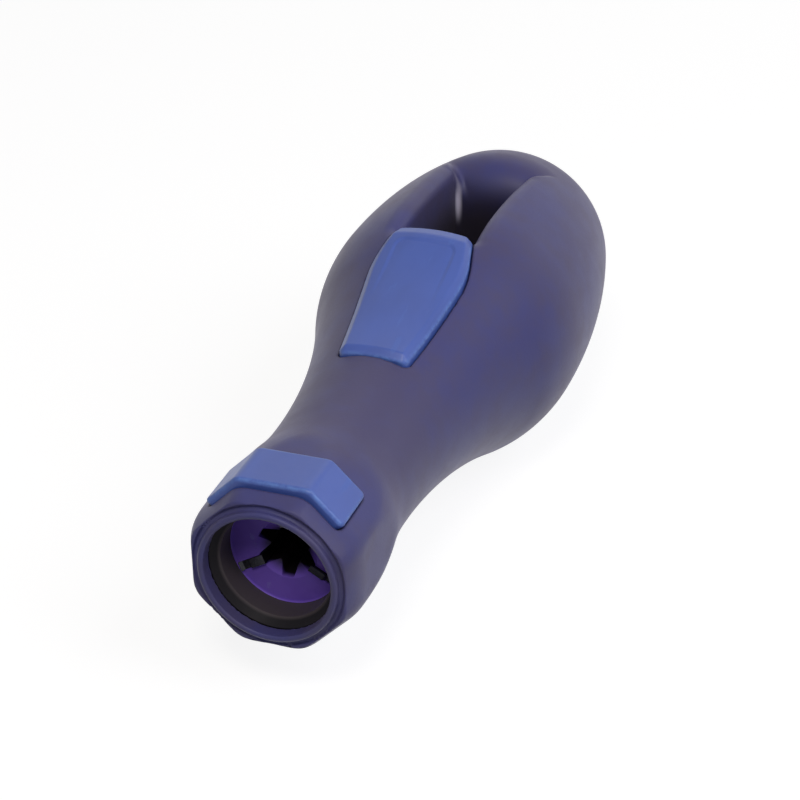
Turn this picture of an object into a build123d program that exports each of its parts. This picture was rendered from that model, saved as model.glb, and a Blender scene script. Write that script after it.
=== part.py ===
from build123d import *

# Hand deburring tool for the cut end of a plastic or composite pipe. Millimetres, +Z up.
# The tool's axis is Y and its mouth faces -Y. A station is a distance along the axis from
# the mouth's front. The origin is on the axis, in the plane of the blades' cutting tips.

import os
from math import atan2, cos, degrees, hypot, radians, sin, sqrt, tan

# ---- overall form of the grip -------------------------------------------------------------
TOOL_LENGTH = 150.0
FRONT_RADIUS = 14.3
FRONT_STATION = 0.9
HEAD_EDGE_RADIUS = 16.1
HEAD_EDGE_STATION = 5.0
HEAD_RADIUS = 16.6
HEAD_STATION = 11.0
HEAD_BEND = 0.6
HEAD_ACROSS_FLATS = 30.6
HEAD_CORNER_ROUND = 4.0
NECK_RADIUS = 14.2
NECK_STATION = 32.0
NECK_BEND = 0.68
BULB_RADIUS = 26.6
BULB_STATION = 101.0
CROWN_BLUNTNESS = 0.88

# ---- walls --------------------------------------------------------------------------------
SKIN = 1.8
CORE_WALL = 2.4
LINING = 1.5
FIT = 0.05
LOOSE_FIT = 0.15

# ---- mouth --------------------------------------------------------------------------------
LIP_RADIUS = 12.7
BEAD_RADIUS = 0.7
DATUM_DEPTH = 8.8

# ---- socket body --------------------------------------------------------------------------
SOCKET_FRONT = 1.5
SOCKET_BORE_RADIUS = 12.3
SOCKET_FLOOR = 1.9
SPIGOT_RADIUS = 9.9
SPIGOT_LENGTH = 18.0
PASSAGE_RADIUS = 7.5
KEY_HEIGHT = 1.0
KEY_WIDTH = 3.0
BAND_START = 5.2
BAND_LENGTH = 10.2
BAND_RAISE = 1.0
BAND_EDGE = 0.6

# ---- guide ring and its snap ring ---------------------------------------------------------
PIPE_RADIUS = 10.0
PIPE_WALL = 2.0
GUIDE_CLEARANCE = 0.25
GUIDE_FRONT = 2.95
FUNNEL_RADIUS = 11.7
WIRE_RADIUS = 0.4
WIRE_GROOVE_DEPTH = 0.45
WIRE_GAP_ANGLE = 40.0

# ---- cutter hub ---------------------------------------------------------------------------
HUB_LENGTH = 12.2
DISH_STEP = 0.4
DISH_DEPTH = 0.6
DISH_ROUND = 0.5
STAR_ARMS = 6
STAR_TIP_RADIUS = 5.6
STAR_TIP_HALF_ANGLE = 11.0
STAR_TOOTH_RADIUS = 3.3
STAR_ROUND = 0.35
STAR_BEVEL_DEPTH = 1.6

# ---- blades and what clamps them ----------------------------------------------------------
BLADE_ANGLES = (90.0, 210.0, 330.0)
BLADE_THICKNESS = 1.6
BLADE_INNER_RADIUS = 4.9
BLADE_EAR = 0.9
BLADE_EAR_STATION = 12.5
BLADE_CHAMFER = 0.4
BLADE_RELIEF_ANGLE = 12.0
NOTCH_DEPTH = 0.55
CLAMP_THICKNESS = 1.8
CLAMP_INNER_RADIUS = 6.4
CLAMP_SCREW_CIRCLE = 8.9
CLAMP_SCREW_ANGLES = (30.0, 150.0, 270.0)
CLAMP_SCREW_RADIUS = 1.25
CLAMP_SCREW_HEAD_RADIUS = 2.2
CLAMP_SCREW_LENGTH = 6.6
INSERT_WALL = 0.7
INSERT_LENGTH = 5.0
SPRING_THICKNESS = 0.6
SPRING_SPACE = 1.3
SPRING_INNER_RADIUS = 7.9

# ---- torque pins --------------------------------------------------------------------------
TORQUE_PIN_RADIUS = 1.0
TORQUE_PIN_SET_BACK = 9.0

# ---- thumb plate --------------------------------------------------------------------------
PLATE_FRONT = 52.0
PLATE_KINK = 78.5
PLATE_REAR = 87.5
PLATE_FRONT_HALF = 6.7
PLATE_KINK_HALF = 8.7
PLATE_REAR_HALF = 7.3
PLATE_CORNER = 1.2
PLATE_KINK_ROUND = 12.0
PLATE_RAISE = 1.0
PLATE_EDGE = 0.5
PLATE_BEVEL = 3.0
FLANGE_MARGIN = 1.8
FLANGE_THICKNESS = 1.2
POST_RADIUS = 2.0
POST_STATIONS = (60.0, 74.0)
POST_SEAT_RADIUS = 4.5
POST_SEAT_HEIGHT = 1.6
POST_TAIL = 1.6
PUSH_NUT_RADIUS = 3.8
PUSH_NUT_THICKNESS = 0.5

# ---- chip window and chute ----------------------------------------------------------------
WINDOW_HALF_WIDTH = 7.5
WINDOW_LENGTH = 34.0
WINDOW_CORNER = 3.0
WINDOW_LIP = 3.2
REAR_RELIEF_START = 120.0
REAR_RELIEF_HEIGHT = 13.1
REAR_RELIEF_MARGIN = 2.0
LINING_BOTTOM = 4.0
CHUTE_WALL = 1.2
CHUTE_LAP = 14.0
CHUTE_TUBE_END = 82.0
CHUTE_FLARE = 5.0
CHUTE_CLEARANCE = 0.2

# ---- core halves --------------------------------------------------------------------------
BULKHEAD_STATION = 79.0
BULKHEAD_THICKNESS = 2.0
NECK_SCREW_SET_BACK = 3.35
NECK_SCREW_RADIUS = 1.25
NECK_SCREW_LENGTH = 10.0
NECK_SCREW_SEAT = 3.5
BULB_SCREW_STATION = 131.0
BULB_SCREW_HEIGHT = 11.0
BELLY_SCREW_STATION = 103.0
BULB_SCREW_RADIUS = 1.5
BULB_SCREW_LENGTH = 20.0
BULB_SCREW_SEAT = 7.0
BOSS_WALL = 1.25
SCREW_HEAD_RATIO = 1.6
SCREW_DRIVE_RATIO = 0.7

# ---- sizes that follow --------------------------------------------------------------------
GUIDE_BORE = PIPE_RADIUS + GUIDE_CLEARANCE
GUIDE_OUTER = SOCKET_BORE_RADIUS - FIT
GUIDE_END = DATUM_DEPTH
HUB_RADIUS = SOCKET_BORE_RADIUS - 2 * FIT
HUB_FRONT = GUIDE_END
HUB_END = HUB_FRONT + HUB_LENGTH
DISH_FLOOR = HUB_FRONT + DISH_DEPTH
DISH_RADIUS = GUIDE_BORE + DISH_STEP
KEY_INNER = SOCKET_BORE_RADIUS - KEY_HEIGHT
CLAMP_OUTER = KEY_INNER - FIT
CLAMP_END = HUB_END + CLAMP_THICKNESS
SHOULDER_STATION = CLAMP_END + SPRING_SPACE
SOCKET_HEAD_END = SHOULDER_STATION + SOCKET_FLOOR
SPIGOT_END = SOCKET_HEAD_END + SPIGOT_LENGTH
TORQUE_PIN_STATION = SOCKET_HEAD_END + TORQUE_PIN_SET_BACK
BLADE_TIP_RADIUS = GUIDE_BORE - FIT
BLADE_OUTER_RADIUS = BLADE_TIP_RADIUS + BLADE_EAR
INSERT_RADIUS = CLAMP_SCREW_RADIUS + INSERT_WALL
SPIGOT_SEAT = SPIGOT_RADIUS + FIT
SEAT_END = SPIGOT_END + LOOSE_FIT
NECK_SCREW_STATION = SEAT_END + NECK_SCREW_SET_BACK
CHUTE_START = SPIGOT_END - CHUTE_LAP
CHUTE_TUBE_RADIUS = PASSAGE_RADIUS - CHUTE_CLEARANCE
CHUTE_TUBE_BORE = CHUTE_TUBE_RADIUS - CHUTE_WALL
WINDOW_START = PLATE_REAR
WINDOW_END = WINDOW_START + WINDOW_LENGTH
FLARE_END = CHUTE_TUBE_END + CHUTE_FLARE
OCTAGON_SIDES = 8
BAND_ROOT = HEAD_ACROSS_FLATS / 4
TAPERS_PER_ARC = 4
BIG = 3 * BULB_RADIUS


def along_y(section, start, end):
    """Extrude a section drawn in X and Z from one station to another."""
    return extrude(Plane.XZ.offset(-start) * section, -(end - start))


def along_x(section, start, end):
    """Extrude a section drawn in Y and Z from one X to another."""
    return extrude(Plane.YZ.offset(start) * section, end - start)


def turned(*outline):
    """Revolve a closed outline of (radius, station) points about the axis."""
    return revolve(make_face(Polyline(*outline, close=True)), Axis.Y, 360)


def ring(outer, inner, start, end):
    """A plain ring about the axis, between two stations."""
    return turned((inner, start), (outer, start), (outer, end), (inner, end))


def rod(radius, start, end):
    """A plain round bar on the axis, between two stations."""
    return along_y(Circle(radius), start, end)


def block(x_low, x_high, y_low, y_high, z_low, z_high):
    """A box from its low and high corners."""
    size = Box(x_high - x_low, y_high - y_low, z_high - z_low)
    return Pos((x_low + x_high) / 2, (y_low + y_high) / 2, (z_low + z_high) / 2) * size


def polar(radius, angle):
    """X and Z of a point at an angle about the axis, counted from +X towards +Z."""
    return (radius * cos(radians(angle)), radius * sin(radians(angle)))


def about_axis(part, angle):
    """Turn a part drawn along +Z about the axis, to the angle that polar counts."""
    return Rot(0, 90 - angle, 0) * part


# ---- outer form ---------------------------------------------------------------------------
def revolve_outline(*edges):
    """Revolve connected edges about the axis, closed straight to the axis at both ends."""
    first, last = edges[0] @ 0, edges[-1] @ 1
    closing = Polyline((last.X, last.Y), (0, last.Y), (0, first.Y), (first.X, first.Y))
    return revolve(make_face([*edges, *closing.edges()]), Axis.Y, 360)


def waist(first, last, bend):
    """Two tangent arcs from one ring to another, along the axis at both, turning at bend."""
    turn = tuple(near + bend * (far - near) for near, far in zip(first, last))
    leaving = TangentArc(first, turn, tangent=(0, 1))
    return leaving, TangentArc(turn, last, tangent=leaving % 1)


def neck_arcs(inset):
    """Outline from the narrowest ring of the neck to the widest ring of the bulb."""
    narrowest = (NECK_RADIUS - inset, NECK_STATION)
    return waist(narrowest, (BULB_RADIUS - inset, BULB_STATION), NECK_BEND)


def crown_arcs(inset):
    """Outline of the rear end: a long side arc and a blunt end arc, tangent to each other."""
    length = TOOL_LENGTH - BULB_STATION
    blunt = CROWN_BLUNTNESS * BULB_RADIUS
    side = (BULB_RADIUS**2 + length**2 - 2 * length * blunt) / (2 * (BULB_RADIUS - blunt))
    lean = degrees(atan2(length - blunt, side - BULB_RADIUS))
    long_arc = CenterArc((BULB_RADIUS - side, BULB_STATION), side - inset, 0, lean)
    return long_arc, CenterArc((0, TOOL_LENGTH - blunt), blunt - inset, lean, 90 - lean)


def head_form(inset):
    """The rounded head, from the mouth to the narrowest ring of the neck."""
    front = (FRONT_RADIUS - inset, FRONT_STATION)
    edge = (HEAD_EDGE_RADIUS - inset, HEAD_EDGE_STATION)
    widest = (HEAD_RADIUS - inset, HEAD_STATION)
    cheek = TangentArc(widest, edge, tangent=(0, -1))
    nose = TangentArc(edge, front, tangent=cheek % 1)
    back = waist(widest, (NECK_RADIUS - inset, NECK_STATION), HEAD_BEND)
    round_head = revolve_outline(nose.reversed(), cheek.reversed(), *back)
    return round_head & along_y(octagon(inset), 0, NECK_STATION)


def neck_form(inset):
    """The neck, swelling to the widest ring of the bulb."""
    return revolve_outline(*neck_arcs(inset))


def crown_form(inset):
    """The bulb's rounded rear end."""
    return revolve_outline(*crown_arcs(inset))


def tapered_form(inset, start):
    """Neck and bulb from a station on, as straight tapers between rings of the form."""
    arcs = [*neck_arcs(inset), *crown_arcs(inset)]
    rings = [arc @ (step / TAPERS_PER_ARC) for arc in arcs for step in range(TAPERS_PER_ARC)]
    outline = [(point.X, point.Y) for point in [*rings, arcs[-1] @ 1]]
    return turned(*outline, (0, NECK_STATION)) & block(-BIG, BIG, start, TOOL_LENGTH, -BIG, BIG)


def octagon(inset):
    """The head's rounded octagonal section, with flats at the top, bottom and sides."""
    flat = HEAD_ACROSS_FLATS / 2 - inset
    section = RegularPolygon(flat, OCTAGON_SIDES, major_radius=False)
    section = Rot(0, 0, 180 / OCTAGON_SIDES) * section
    return fillet(section.vertices(), HEAD_CORNER_ROUND)


def form(inset):
    """The grip's whole form at an inset: turned, with eight flats on the head."""
    return head_form(inset) + neck_form(inset) + crown_form(inset)


# ---- shapes that several pieces share -----------------------------------------------------
def band_form(growth):
    """The raised band over the head's top flat and half of each flat beside it."""
    section = octagon(-BAND_RAISE) & make_face(
        Polyline((0, 0), (BIG, BIG), (-BIG, BIG), close=True)
    )
    ends = (BAND_START - growth, BAND_START + BAND_LENGTH + growth)
    band = along_y(section, *ends)
    rim = [
        edge
        for edge in band.edges()
        if edge.center().Z > BAND_ROOT and not is_crease(edge, ends)
    ]
    band = chamfer(rim, BAND_EDGE)
    return band - rod(SOCKET_BORE_RADIUS + KEY_HEIGHT / 2, 0, TOOL_LENGTH)


def is_crease(edge, ends):
    """Whether an edge of the band runs along the axis between two of its flats."""
    box = edge.bounding_box()
    middle = (ends[0] + ends[1]) / 2
    side = HEAD_ACROSS_FLATS / 2 * cos(radians(45))
    return abs(edge.center().Y - middle) < FIT and abs(box.center().X) < side


def plate_outline(margin):
    """Plan of the thumb plate: it widens to a kink and narrows again at the chip window."""
    right = [
        (PLATE_FRONT_HALF + margin, PLATE_FRONT - margin),
        (PLATE_KINK_HALF + margin, PLATE_KINK),
        (PLATE_REAR_HALF + margin, PLATE_REAR),
    ]
    left = [(-x, y) for x, y in reversed(right)]
    plan = make_face(Polyline(*right, *left, close=True))
    points = plan.vertices().sort_by(Axis.Y)
    plan = fillet(points[:2], PLATE_CORNER + margin)
    kinks = plan.vertices().sort_by(Axis.Y)[4:6]
    return fillet(kinks, PLATE_KINK_ROUND)


def plate_column(margin):
    """The thumb plate's plan, carried straight up through the grip."""
    return extrude(plate_outline(margin), BIG)


def window_column(growth, bottom):
    """The chip window's plan, round at its rear corners, carried up from a height."""
    width = 2 * (WINDOW_HALF_WIDTH + growth)
    length = WINDOW_END - WINDOW_START + 2 * growth
    plan = Pos(0, (WINDOW_START + WINDOW_END) / 2) * Rectangle(width, length)
    rear_corners = plan.vertices().sort_by(Axis.Y)[-2:]
    plan = fillet(rear_corners, WINDOW_CORNER + growth)
    return extrude(Plane.XY.offset(bottom) * plan, BIG)


def rear_relief(sunk=0):
    """Slope behind the chip window, over which the soft skin is thicker than elsewhere."""
    start, low = REAR_RELIEF_START + sunk, REAR_RELIEF_HEIGHT - sunk
    half = WINDOW_HALF_WIDTH + LINING + REAR_RELIEF_MARGIN
    section = Polyline((start, low), (start, BIG), (start + BIG - low, BIG), close=True)
    return along_x(make_face(section), -half, half)


# ---- grip ---------------------------------------------------------------------------------
def window_rim(body):
    """Edges where the chip window's sides, rear corners and rear end meet the grip's surface."""
    half = WINDOW_HALF_WIDTH + FIT
    rim = []
    for edge in body.edges():
        box = edge.bounding_box()
        inside = box.min.X > -half and box.max.X < half
        outer = box.min.Z > LINING_BOTTOM + FIT and box.max.Y > WINDOW_START + FIT
        upright = box.size.X < FIT and box.size.Y < FIT
        if inside and outer and not upright:
            rim.append(edge)
    return rim


def cut_window(body):
    """Cut the chip window and round its rim into a soft lip."""
    body = body - window_column(0, LINING_BOTTOM)
    return fillet(window_rim(body), WINDOW_LIP)


def soft_grip():
    """One-piece elastomer skin: bead round the mouth, window for the plate, lined chip window."""
    body = cut_window(form(0))
    inner = form(SKIN) & block(-BIG, BIG, SOCKET_FRONT, TOOL_LENGTH, -BIG, BIG)
    inner = inner - window_column(LINING, LINING_BOTTOM) - rear_relief()
    bead = Pos(LIP_RADIUS + BEAD_RADIUS, BEAD_RADIUS) * Circle(BEAD_RADIUS)
    skin = body + revolve(bead, Axis.Y, 360) - inner
    skin = skin - rod(LIP_RADIUS, -1, SOCKET_FRONT)
    return skin - band_form(0) - thumb_plate_stack(0) - flange_stack(0)


# ---- socket body --------------------------------------------------------------------------
def key_ribs(height, width, end):
    """Two ribs in the socket's bore, one on each side, that turn the hub with the handle."""
    start = HUB_FRONT + 1
    ribs = block(-BIG, BIG, start, end, -width / 2, width / 2) & rod(SOCKET_BORE_RADIUS, 0, end)
    return ribs - rod(SOCKET_BORE_RADIUS - height, 0, TOOL_LENGTH)


def socket_body():
    """Octagonal hard head: bore with wire groove and key ribs, rear spigot, raised band."""
    head = head_form(SKIN) & block(-BIG, BIG, SOCKET_FRONT, SOCKET_HEAD_END, -BIG, BIG)
    body = head + rod(SPIGOT_RADIUS, SOCKET_HEAD_END, SPIGOT_END) + band_form(0)
    body = body - rod(SOCKET_BORE_RADIUS, 0, SHOULDER_STATION)
    body = body - rod(PASSAGE_RADIUS, 0, TOOL_LENGTH)
    groove_end = GUIDE_FRONT - FIT
    groove_start = groove_end - 2 * WIRE_RADIUS - FIT
    groove_radius = SOCKET_BORE_RADIUS + WIRE_GROOVE_DEPTH
    body = body - rod(groove_radius, groove_start, groove_end)
    body = body + key_ribs(KEY_HEIGHT, KEY_WIDTH, SHOULDER_STATION)
    return body - torque_pin_bars(TORQUE_PIN_RADIUS + FIT)


def torque_pin_bars(radius):
    """Two bars across the tool that pass through the core's and the spigot's walls."""
    height = (SPIGOT_RADIUS + PASSAGE_RADIUS) / 2
    reach = sqrt((NECK_RADIUS - SKIN) ** 2 - height**2) - 1
    bars = [
        Pos(TORQUE_PIN_STATION, side * height) * Circle(radius) for side in (1, -1)
    ]
    return along_x(Sketch() + bars, -reach, reach)


def torque_pins():
    """Two steel pins that lock the socket body in the core."""
    return torque_pin_bars(TORQUE_PIN_RADIUS)


# ---- guide ring ---------------------------------------------------------------------------
def guide_ring():
    """Exchangeable liner that centres the pipe: funnel, bore and back face on the hub."""
    funnel_end = GUIDE_FRONT + FUNNEL_RADIUS - GUIDE_BORE
    return turned(
        (FUNNEL_RADIUS, GUIDE_FRONT),
        (GUIDE_OUTER, GUIDE_FRONT),
        (GUIDE_OUTER, GUIDE_END),
        (GUIDE_BORE, GUIDE_END),
        (GUIDE_BORE, funnel_end),
    )


def snap_ring():
    """Round wire ring, open at the bottom, that holds guide ring and hub in the socket."""
    centre_radius = SOCKET_BORE_RADIUS + WIRE_GROOVE_DEPTH - WIRE_RADIUS - FIT
    station = GUIDE_FRONT - FIT - WIRE_RADIUS
    wire = Pos(centre_radius, station) * Circle(WIRE_RADIUS)
    loop = revolve(wire, Axis.Y, 360 - WIRE_GAP_ANGLE)
    return Rot(0, WIRE_GAP_ANGLE / 2 - 90, 0) * loop


# ---- cutter hub ---------------------------------------------------------------------------
def star_section():
    """Six-armed star: blunt arms, with pointed teeth between them."""
    points = []
    step = 360 / STAR_ARMS
    for arm in range(STAR_ARMS):
        middle = 90 + arm * step
        points.append(polar(STAR_TIP_RADIUS, middle - STAR_TIP_HALF_ANGLE))
        points.append(polar(STAR_TIP_RADIUS, middle + STAR_TIP_HALF_ANGLE))
        points.append(polar(STAR_TOOTH_RADIUS, middle + step / 2))
    star = make_face(Polyline(*points, close=True))
    return fillet(star.vertices(), STAR_ROUND)


def star_bevel():
    """Cone that bevels the front of the star's teeth."""
    end = DISH_FLOOR + STAR_BEVEL_DEPTH
    return turned((0, DISH_FLOOR), (STAR_TIP_RADIUS, DISH_FLOOR), (STAR_TOOTH_RADIUS, end), (0, end))


def dish():
    """Shallow dish in the hub's front, with a rounded foot to its wall."""
    start = HUB_FRONT - 1
    recess = rod(DISH_RADIUS, start, DISH_FLOOR)
    foot = recess.edges().sort_by(Axis.Y)[-1]
    return fillet(foot, DISH_ROUND)


def blade_space(growth):
    """What a blade fills in the hub: a radial slot, deeper behind the ears' shoulder."""
    half = BLADE_THICKNESS / 2 + growth
    inner = BLADE_INNER_RADIUS - growth
    front = block(-half, half, 0, HUB_END, inner, BLADE_TIP_RADIUS + growth)
    shoulder = BLADE_EAR_STATION - growth
    return front + block(-half, half, shoulder, HUB_END, inner, BLADE_OUTER_RADIUS + growth)


def cutter_hub():
    """Moulded hub: dished front, star-shaped chip port, blade slots and key slots."""
    hub = rod(HUB_RADIUS, HUB_FRONT, HUB_END) - dish()
    hub = hub - star_bevel() - along_y(star_section(), 0, HUB_END + 1)
    for angle in BLADE_ANGLES:
        hub = hub - about_axis(blade_space(FIT), angle)
    for angle in CLAMP_SCREW_ANGLES:
        x, z = polar(CLAMP_SCREW_CIRCLE, angle)
        pocket = rod(INSERT_RADIUS + FIT, HUB_END - INSERT_LENGTH, HUB_END)
        tip = rod(CLAMP_SCREW_RADIUS + FIT, CLAMP_END - CLAMP_SCREW_LENGTH - 1, HUB_END)
        hub = hub - Pos(x, 0, z) * (pocket + tip)
    return hub - key_ribs(KEY_HEIGHT + FIT, KEY_WIDTH + 2 * FIT, HUB_END + 1)


def hub_inserts():
    """Threaded brass inserts in the hub's back, one for each clamp screw."""
    sleeve = ring(INSERT_RADIUS, CLAMP_SCREW_RADIUS + FIT, HUB_END - INSERT_LENGTH, HUB_END)
    return on_clamp_circle(sleeve)


def on_clamp_circle(piece):
    """Copies of an axial piece, as one group, at the clamp screws' places."""
    places = [polar(CLAMP_SCREW_CIRCLE, angle) for angle in CLAMP_SCREW_ANGLES]
    return Compound([Pos(x, 0, z) * piece for x, z in places])


# ---- blades -------------------------------------------------------------------------------
def notch_outline():
    """The V over the pipe's wall, wide enough to bevel its outer and its inner edge."""
    bevel_out = PIPE_RADIUS - BLADE_CHAMFER
    bevel_in = PIPE_RADIUS - PIPE_WALL + BLADE_CHAMFER
    bottom = DATUM_DEPTH + NOTCH_DEPTH
    top = DATUM_DEPTH - 1
    spread = bottom - top
    return Polyline(
        (bottom, bevel_in),
        (bottom, bevel_out),
        (top, bevel_out + spread),
        (top, bevel_in - spread),
        close=True,
    )


def blade():
    """Hardened plate along +Z: stepped ears at the back, relieved V notch at the front."""
    half = BLADE_THICKNESS / 2
    plate = blade_space(0) & block(-half, half, DATUM_DEPTH, HUB_END, 0, BIG)
    run = BLADE_THICKNESS * tan(radians(BLADE_RELIEF_ANGLE))
    notch = extrude(
        Plane.YZ.offset(-half) * make_face(notch_outline()),
        amount=hypot(BLADE_THICKNESS, run),
        dir=(BLADE_THICKNESS, run, 0),
    )
    face = make_face(
        Polyline(
            (-half, DATUM_DEPTH - 1), (-half, DATUM_DEPTH), (half, DATUM_DEPTH + run),
            (half, DATUM_DEPTH - 1), close=True,
        )
    )
    relief = extrude(face, BIG)
    return plate - notch - relief


def blades():
    """The three blades, each turned to its slot."""
    return [about_axis(blade(), angle) for angle in BLADE_ANGLES]


# ---- blade clamp --------------------------------------------------------------------------
def screw(radius, length, head_radius):
    """Countersunk screw along the axis: head flush at station 0, tip at its length."""
    cone = head_radius - radius
    body = turned((0, 0), (head_radius, 0), (radius, cone), (radius, length - radius / 2),
                  (radius / 2, length), (0, length))
    recess = along_y(RegularPolygon(radius * SCREW_DRIVE_RATIO, 6), 0, cone)
    return body - recess


def clamp_ring():
    """Steel ring over the blades' backs, countersunk for its three screws."""
    plate = ring(CLAMP_OUTER, CLAMP_INNER_RADIUS, HUB_END, CLAMP_END)
    sink = turned(
        (0, CLAMP_END),
        (CLAMP_SCREW_HEAD_RADIUS + FIT, CLAMP_END),
        (CLAMP_SCREW_RADIUS + FIT, CLAMP_END - CLAMP_SCREW_HEAD_RADIUS + CLAMP_SCREW_RADIUS),
        (CLAMP_SCREW_RADIUS + FIT, HUB_END),
        (0, HUB_END),
    )
    return plate - on_clamp_circle(sink)


def clamp_screws():
    """Three countersunk screws that hold the clamp ring on the hub."""
    one = screw(CLAMP_SCREW_RADIUS, CLAMP_SCREW_LENGTH, CLAMP_SCREW_HEAD_RADIUS)
    return on_clamp_circle(Pos(0, CLAMP_END, 0) * (Rot(180, 0, 0) * one))


def disc_spring():
    """Coned spring washer that takes up the play between clamp ring and shoulder."""
    back = SHOULDER_STATION - FIT
    front = CLAMP_END + FIT
    return turned(
        (CLAMP_OUTER, front),
        (CLAMP_OUTER, front + SPRING_THICKNESS),
        (SPRING_INNER_RADIUS, back),
        (SPRING_INNER_RADIUS, back - SPRING_THICKNESS),
    )


# ---- thumb plate --------------------------------------------------------------------------
def thumb_plate_stack(growth):
    """The raised pad that fills the skin's window, down to the core's surface."""
    pad = form(-PLATE_RAISE) & plate_column(growth)
    rim = [edge for edge in pad.edges() if plate_rim(edge)]
    pad = chamfer(rim, PLATE_EDGE)
    crest = surface_radius(PLATE_REAR - PLATE_BEVEL, -PLATE_RAISE)
    return pad - form(SKIN) - block(-BIG, BIG, 0, TOOL_LENGTH, crest, BIG)


def plate_rim(edge):
    """Whether an edge lies round the pad's top, its rear end left out."""
    middle = edge @ 0.5
    station = middle.Y
    outside = hypot(middle.X, middle.Z) > surface_radius(station, 0)
    return outside and station < PLATE_REAR - FIT


def flange_stack(growth):
    """The flange under the skin, let into the core's surface."""
    plate = (form(SKIN) - form(SKIN + FLANGE_THICKNESS + growth)) & plate_column(
        FLANGE_MARGIN + growth
    )
    return plate & block(-BIG, BIG, 0, PLATE_REAR, 0, BIG)


def posts(radius, extra):
    """Round posts under the plate, through the core's wall."""
    rods = []
    for station in POST_STATIONS:
        bottom = post_seat(station) - POST_TAIL - extra
        height = post_top(station) - bottom
        rods.append(Pos(0, station, bottom + height / 2) * Cylinder(radius, height))
    return rods


def surface_radius(station, inset):
    """Radius of the swelling neck at a station, read off the form itself."""
    line = Line((0, station, 0), (0, station, BIG))
    return neck_form(inset).intersect(line).vertices().sort_by(Axis.Z)[-1].Z


def post_top(station):
    """Height at which a post is well inside the plate."""
    return surface_radius(station, SKIN) - FLANGE_THICKNESS / 2


def post_seat(station):
    """Height of the flat under the core's wall, where a post is locked."""
    return surface_radius(station, SKIN + CORE_WALL) - POST_SEAT_HEIGHT


def thumb_plate():
    """Hard plate on the grip's top: bevelled rear end, hidden flange and two posts."""
    pad = thumb_plate_stack(0)
    return pad + flange_stack(0) + posts(POST_RADIUS, 0)


def push_nuts():
    """Push-on nuts that lock the plate's posts inside the core."""
    nuts = []
    for station in POST_STATIONS:
        nut = Cylinder(PUSH_NUT_RADIUS, PUSH_NUT_THICKNESS) - Cylinder(POST_RADIUS + FIT, BIG)
        height = post_seat(station) - FIT - PUSH_NUT_THICKNESS / 2
        nuts.append(Pos(0, station, height) * nut)
    return Compound(nuts)


# ---- chip chute ---------------------------------------------------------------------------
def chip_chute():
    """Tube from the hub through the neck, opening into a trough under the chip window."""
    tube, bore = CHUTE_TUBE_RADIUS, CHUTE_TUBE_BORE
    trough = WINDOW_HALF_WIDTH
    shell = trough + CHUTE_WALL
    end = WINDOW_END + CHUTE_WALL
    outer = turned((0, CHUTE_START), (tube, CHUTE_START), (tube, CHUTE_TUBE_END),
                   (shell, FLARE_END), (shell, end), (0, end))
    hollow = turned((0, CHUTE_START), (bore, CHUTE_START), (bore, CHUTE_TUBE_END),
                    (trough, FLARE_END), (trough, WINDOW_END), (0, WINDOW_END))
    rim = LINING_BOTTOM - FIT
    low = WINDOW_START - LINING
    walls = block(-shell, shell, low, end, 0, rim)
    inside = block(-trough, trough, WINDOW_START, WINDOW_END, 0, BIG)
    above = block(-BIG, BIG, low, end + 1, rim, BIG)
    return outer + walls - hollow - inside - above


# ---- core halves --------------------------------------------------------------------------
def screw_sites():
    """Station, height, screw radius and seat of each screw that joins the halves."""
    neck_height = CHUTE_TUBE_RADIUS + NECK_SCREW_RADIUS + BOSS_WALL
    belly_height = BULB_RADIUS - SKIN - CORE_WALL - boss_radius(BULB_SCREW_RADIUS)
    neck = [(NECK_SCREW_STATION, side * neck_height) for side in (1, -1)]
    bulb = [(BULB_SCREW_STATION, side * BULB_SCREW_HEIGHT) for side in (1, -1)]
    return neck, bulb + [(BELLY_SCREW_STATION, -belly_height)]


def boss_radius(screw_radius):
    """Radius of a boss that leaves a wall round the screw's counterbore."""
    return screw_radius * SCREW_HEAD_RATIO + LOOSE_FIT + BOSS_WALL


def cross_bars(sites, radius, start, end):
    """Round bars along X at the given stations and heights."""
    section = Sketch() + [Pos(y, z) * Circle(radius) for y, z in sites]
    return along_x(section, start, end)


def core_shell():
    """Hollow hard core: spigot seat, chute bulkhead, screw bosses, windows and recess."""
    body = form(SKIN) & block(-BIG, BIG, SOCKET_HEAD_END, TOOL_LENGTH, -BIG, BIG)
    hollow = tapered_form(SKIN + CORE_WALL, SEAT_END + CORE_WALL)
    keep = ring(BIG, CHUTE_TUBE_RADIUS + LOOSE_FIT, BULKHEAD_STATION,
                BULKHEAD_STATION + BULKHEAD_THICKNESS)
    rear = WINDOW_END + LINING
    keep = keep + rod(BIG, rear, rear + BULKHEAD_THICKNESS) + rear_relief(CORE_WALL)
    neck_sites, bulb_sites = screw_sites()
    keep = keep + cross_bars(neck_sites, boss_radius(NECK_SCREW_RADIUS), -BIG, BIG)
    keep = keep + cross_bars(bulb_sites, boss_radius(BULB_SCREW_RADIUS), -BIG, BIG)
    for station in POST_STATIONS:
        seat = post_seat(station)
        keep = keep + Pos(0, station, seat + BIG / 2) * Cylinder(POST_SEAT_RADIUS, BIG)
    body = body - (hollow - keep)
    body = body - rod(SPIGOT_SEAT, 0, SEAT_END) - rod(CHUTE_TUBE_RADIUS + LOOSE_FIT, 0, FLARE_END)
    body = body - window_column(LINING, LINING_BOTTOM) - rear_relief() - flange_stack(FIT)
    for post in posts(POST_RADIUS + FIT, 1):
        body = body - post
    body = body - torque_pin_bars(TORQUE_PIN_RADIUS + FIT)
    return body - screw_holes()


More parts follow.
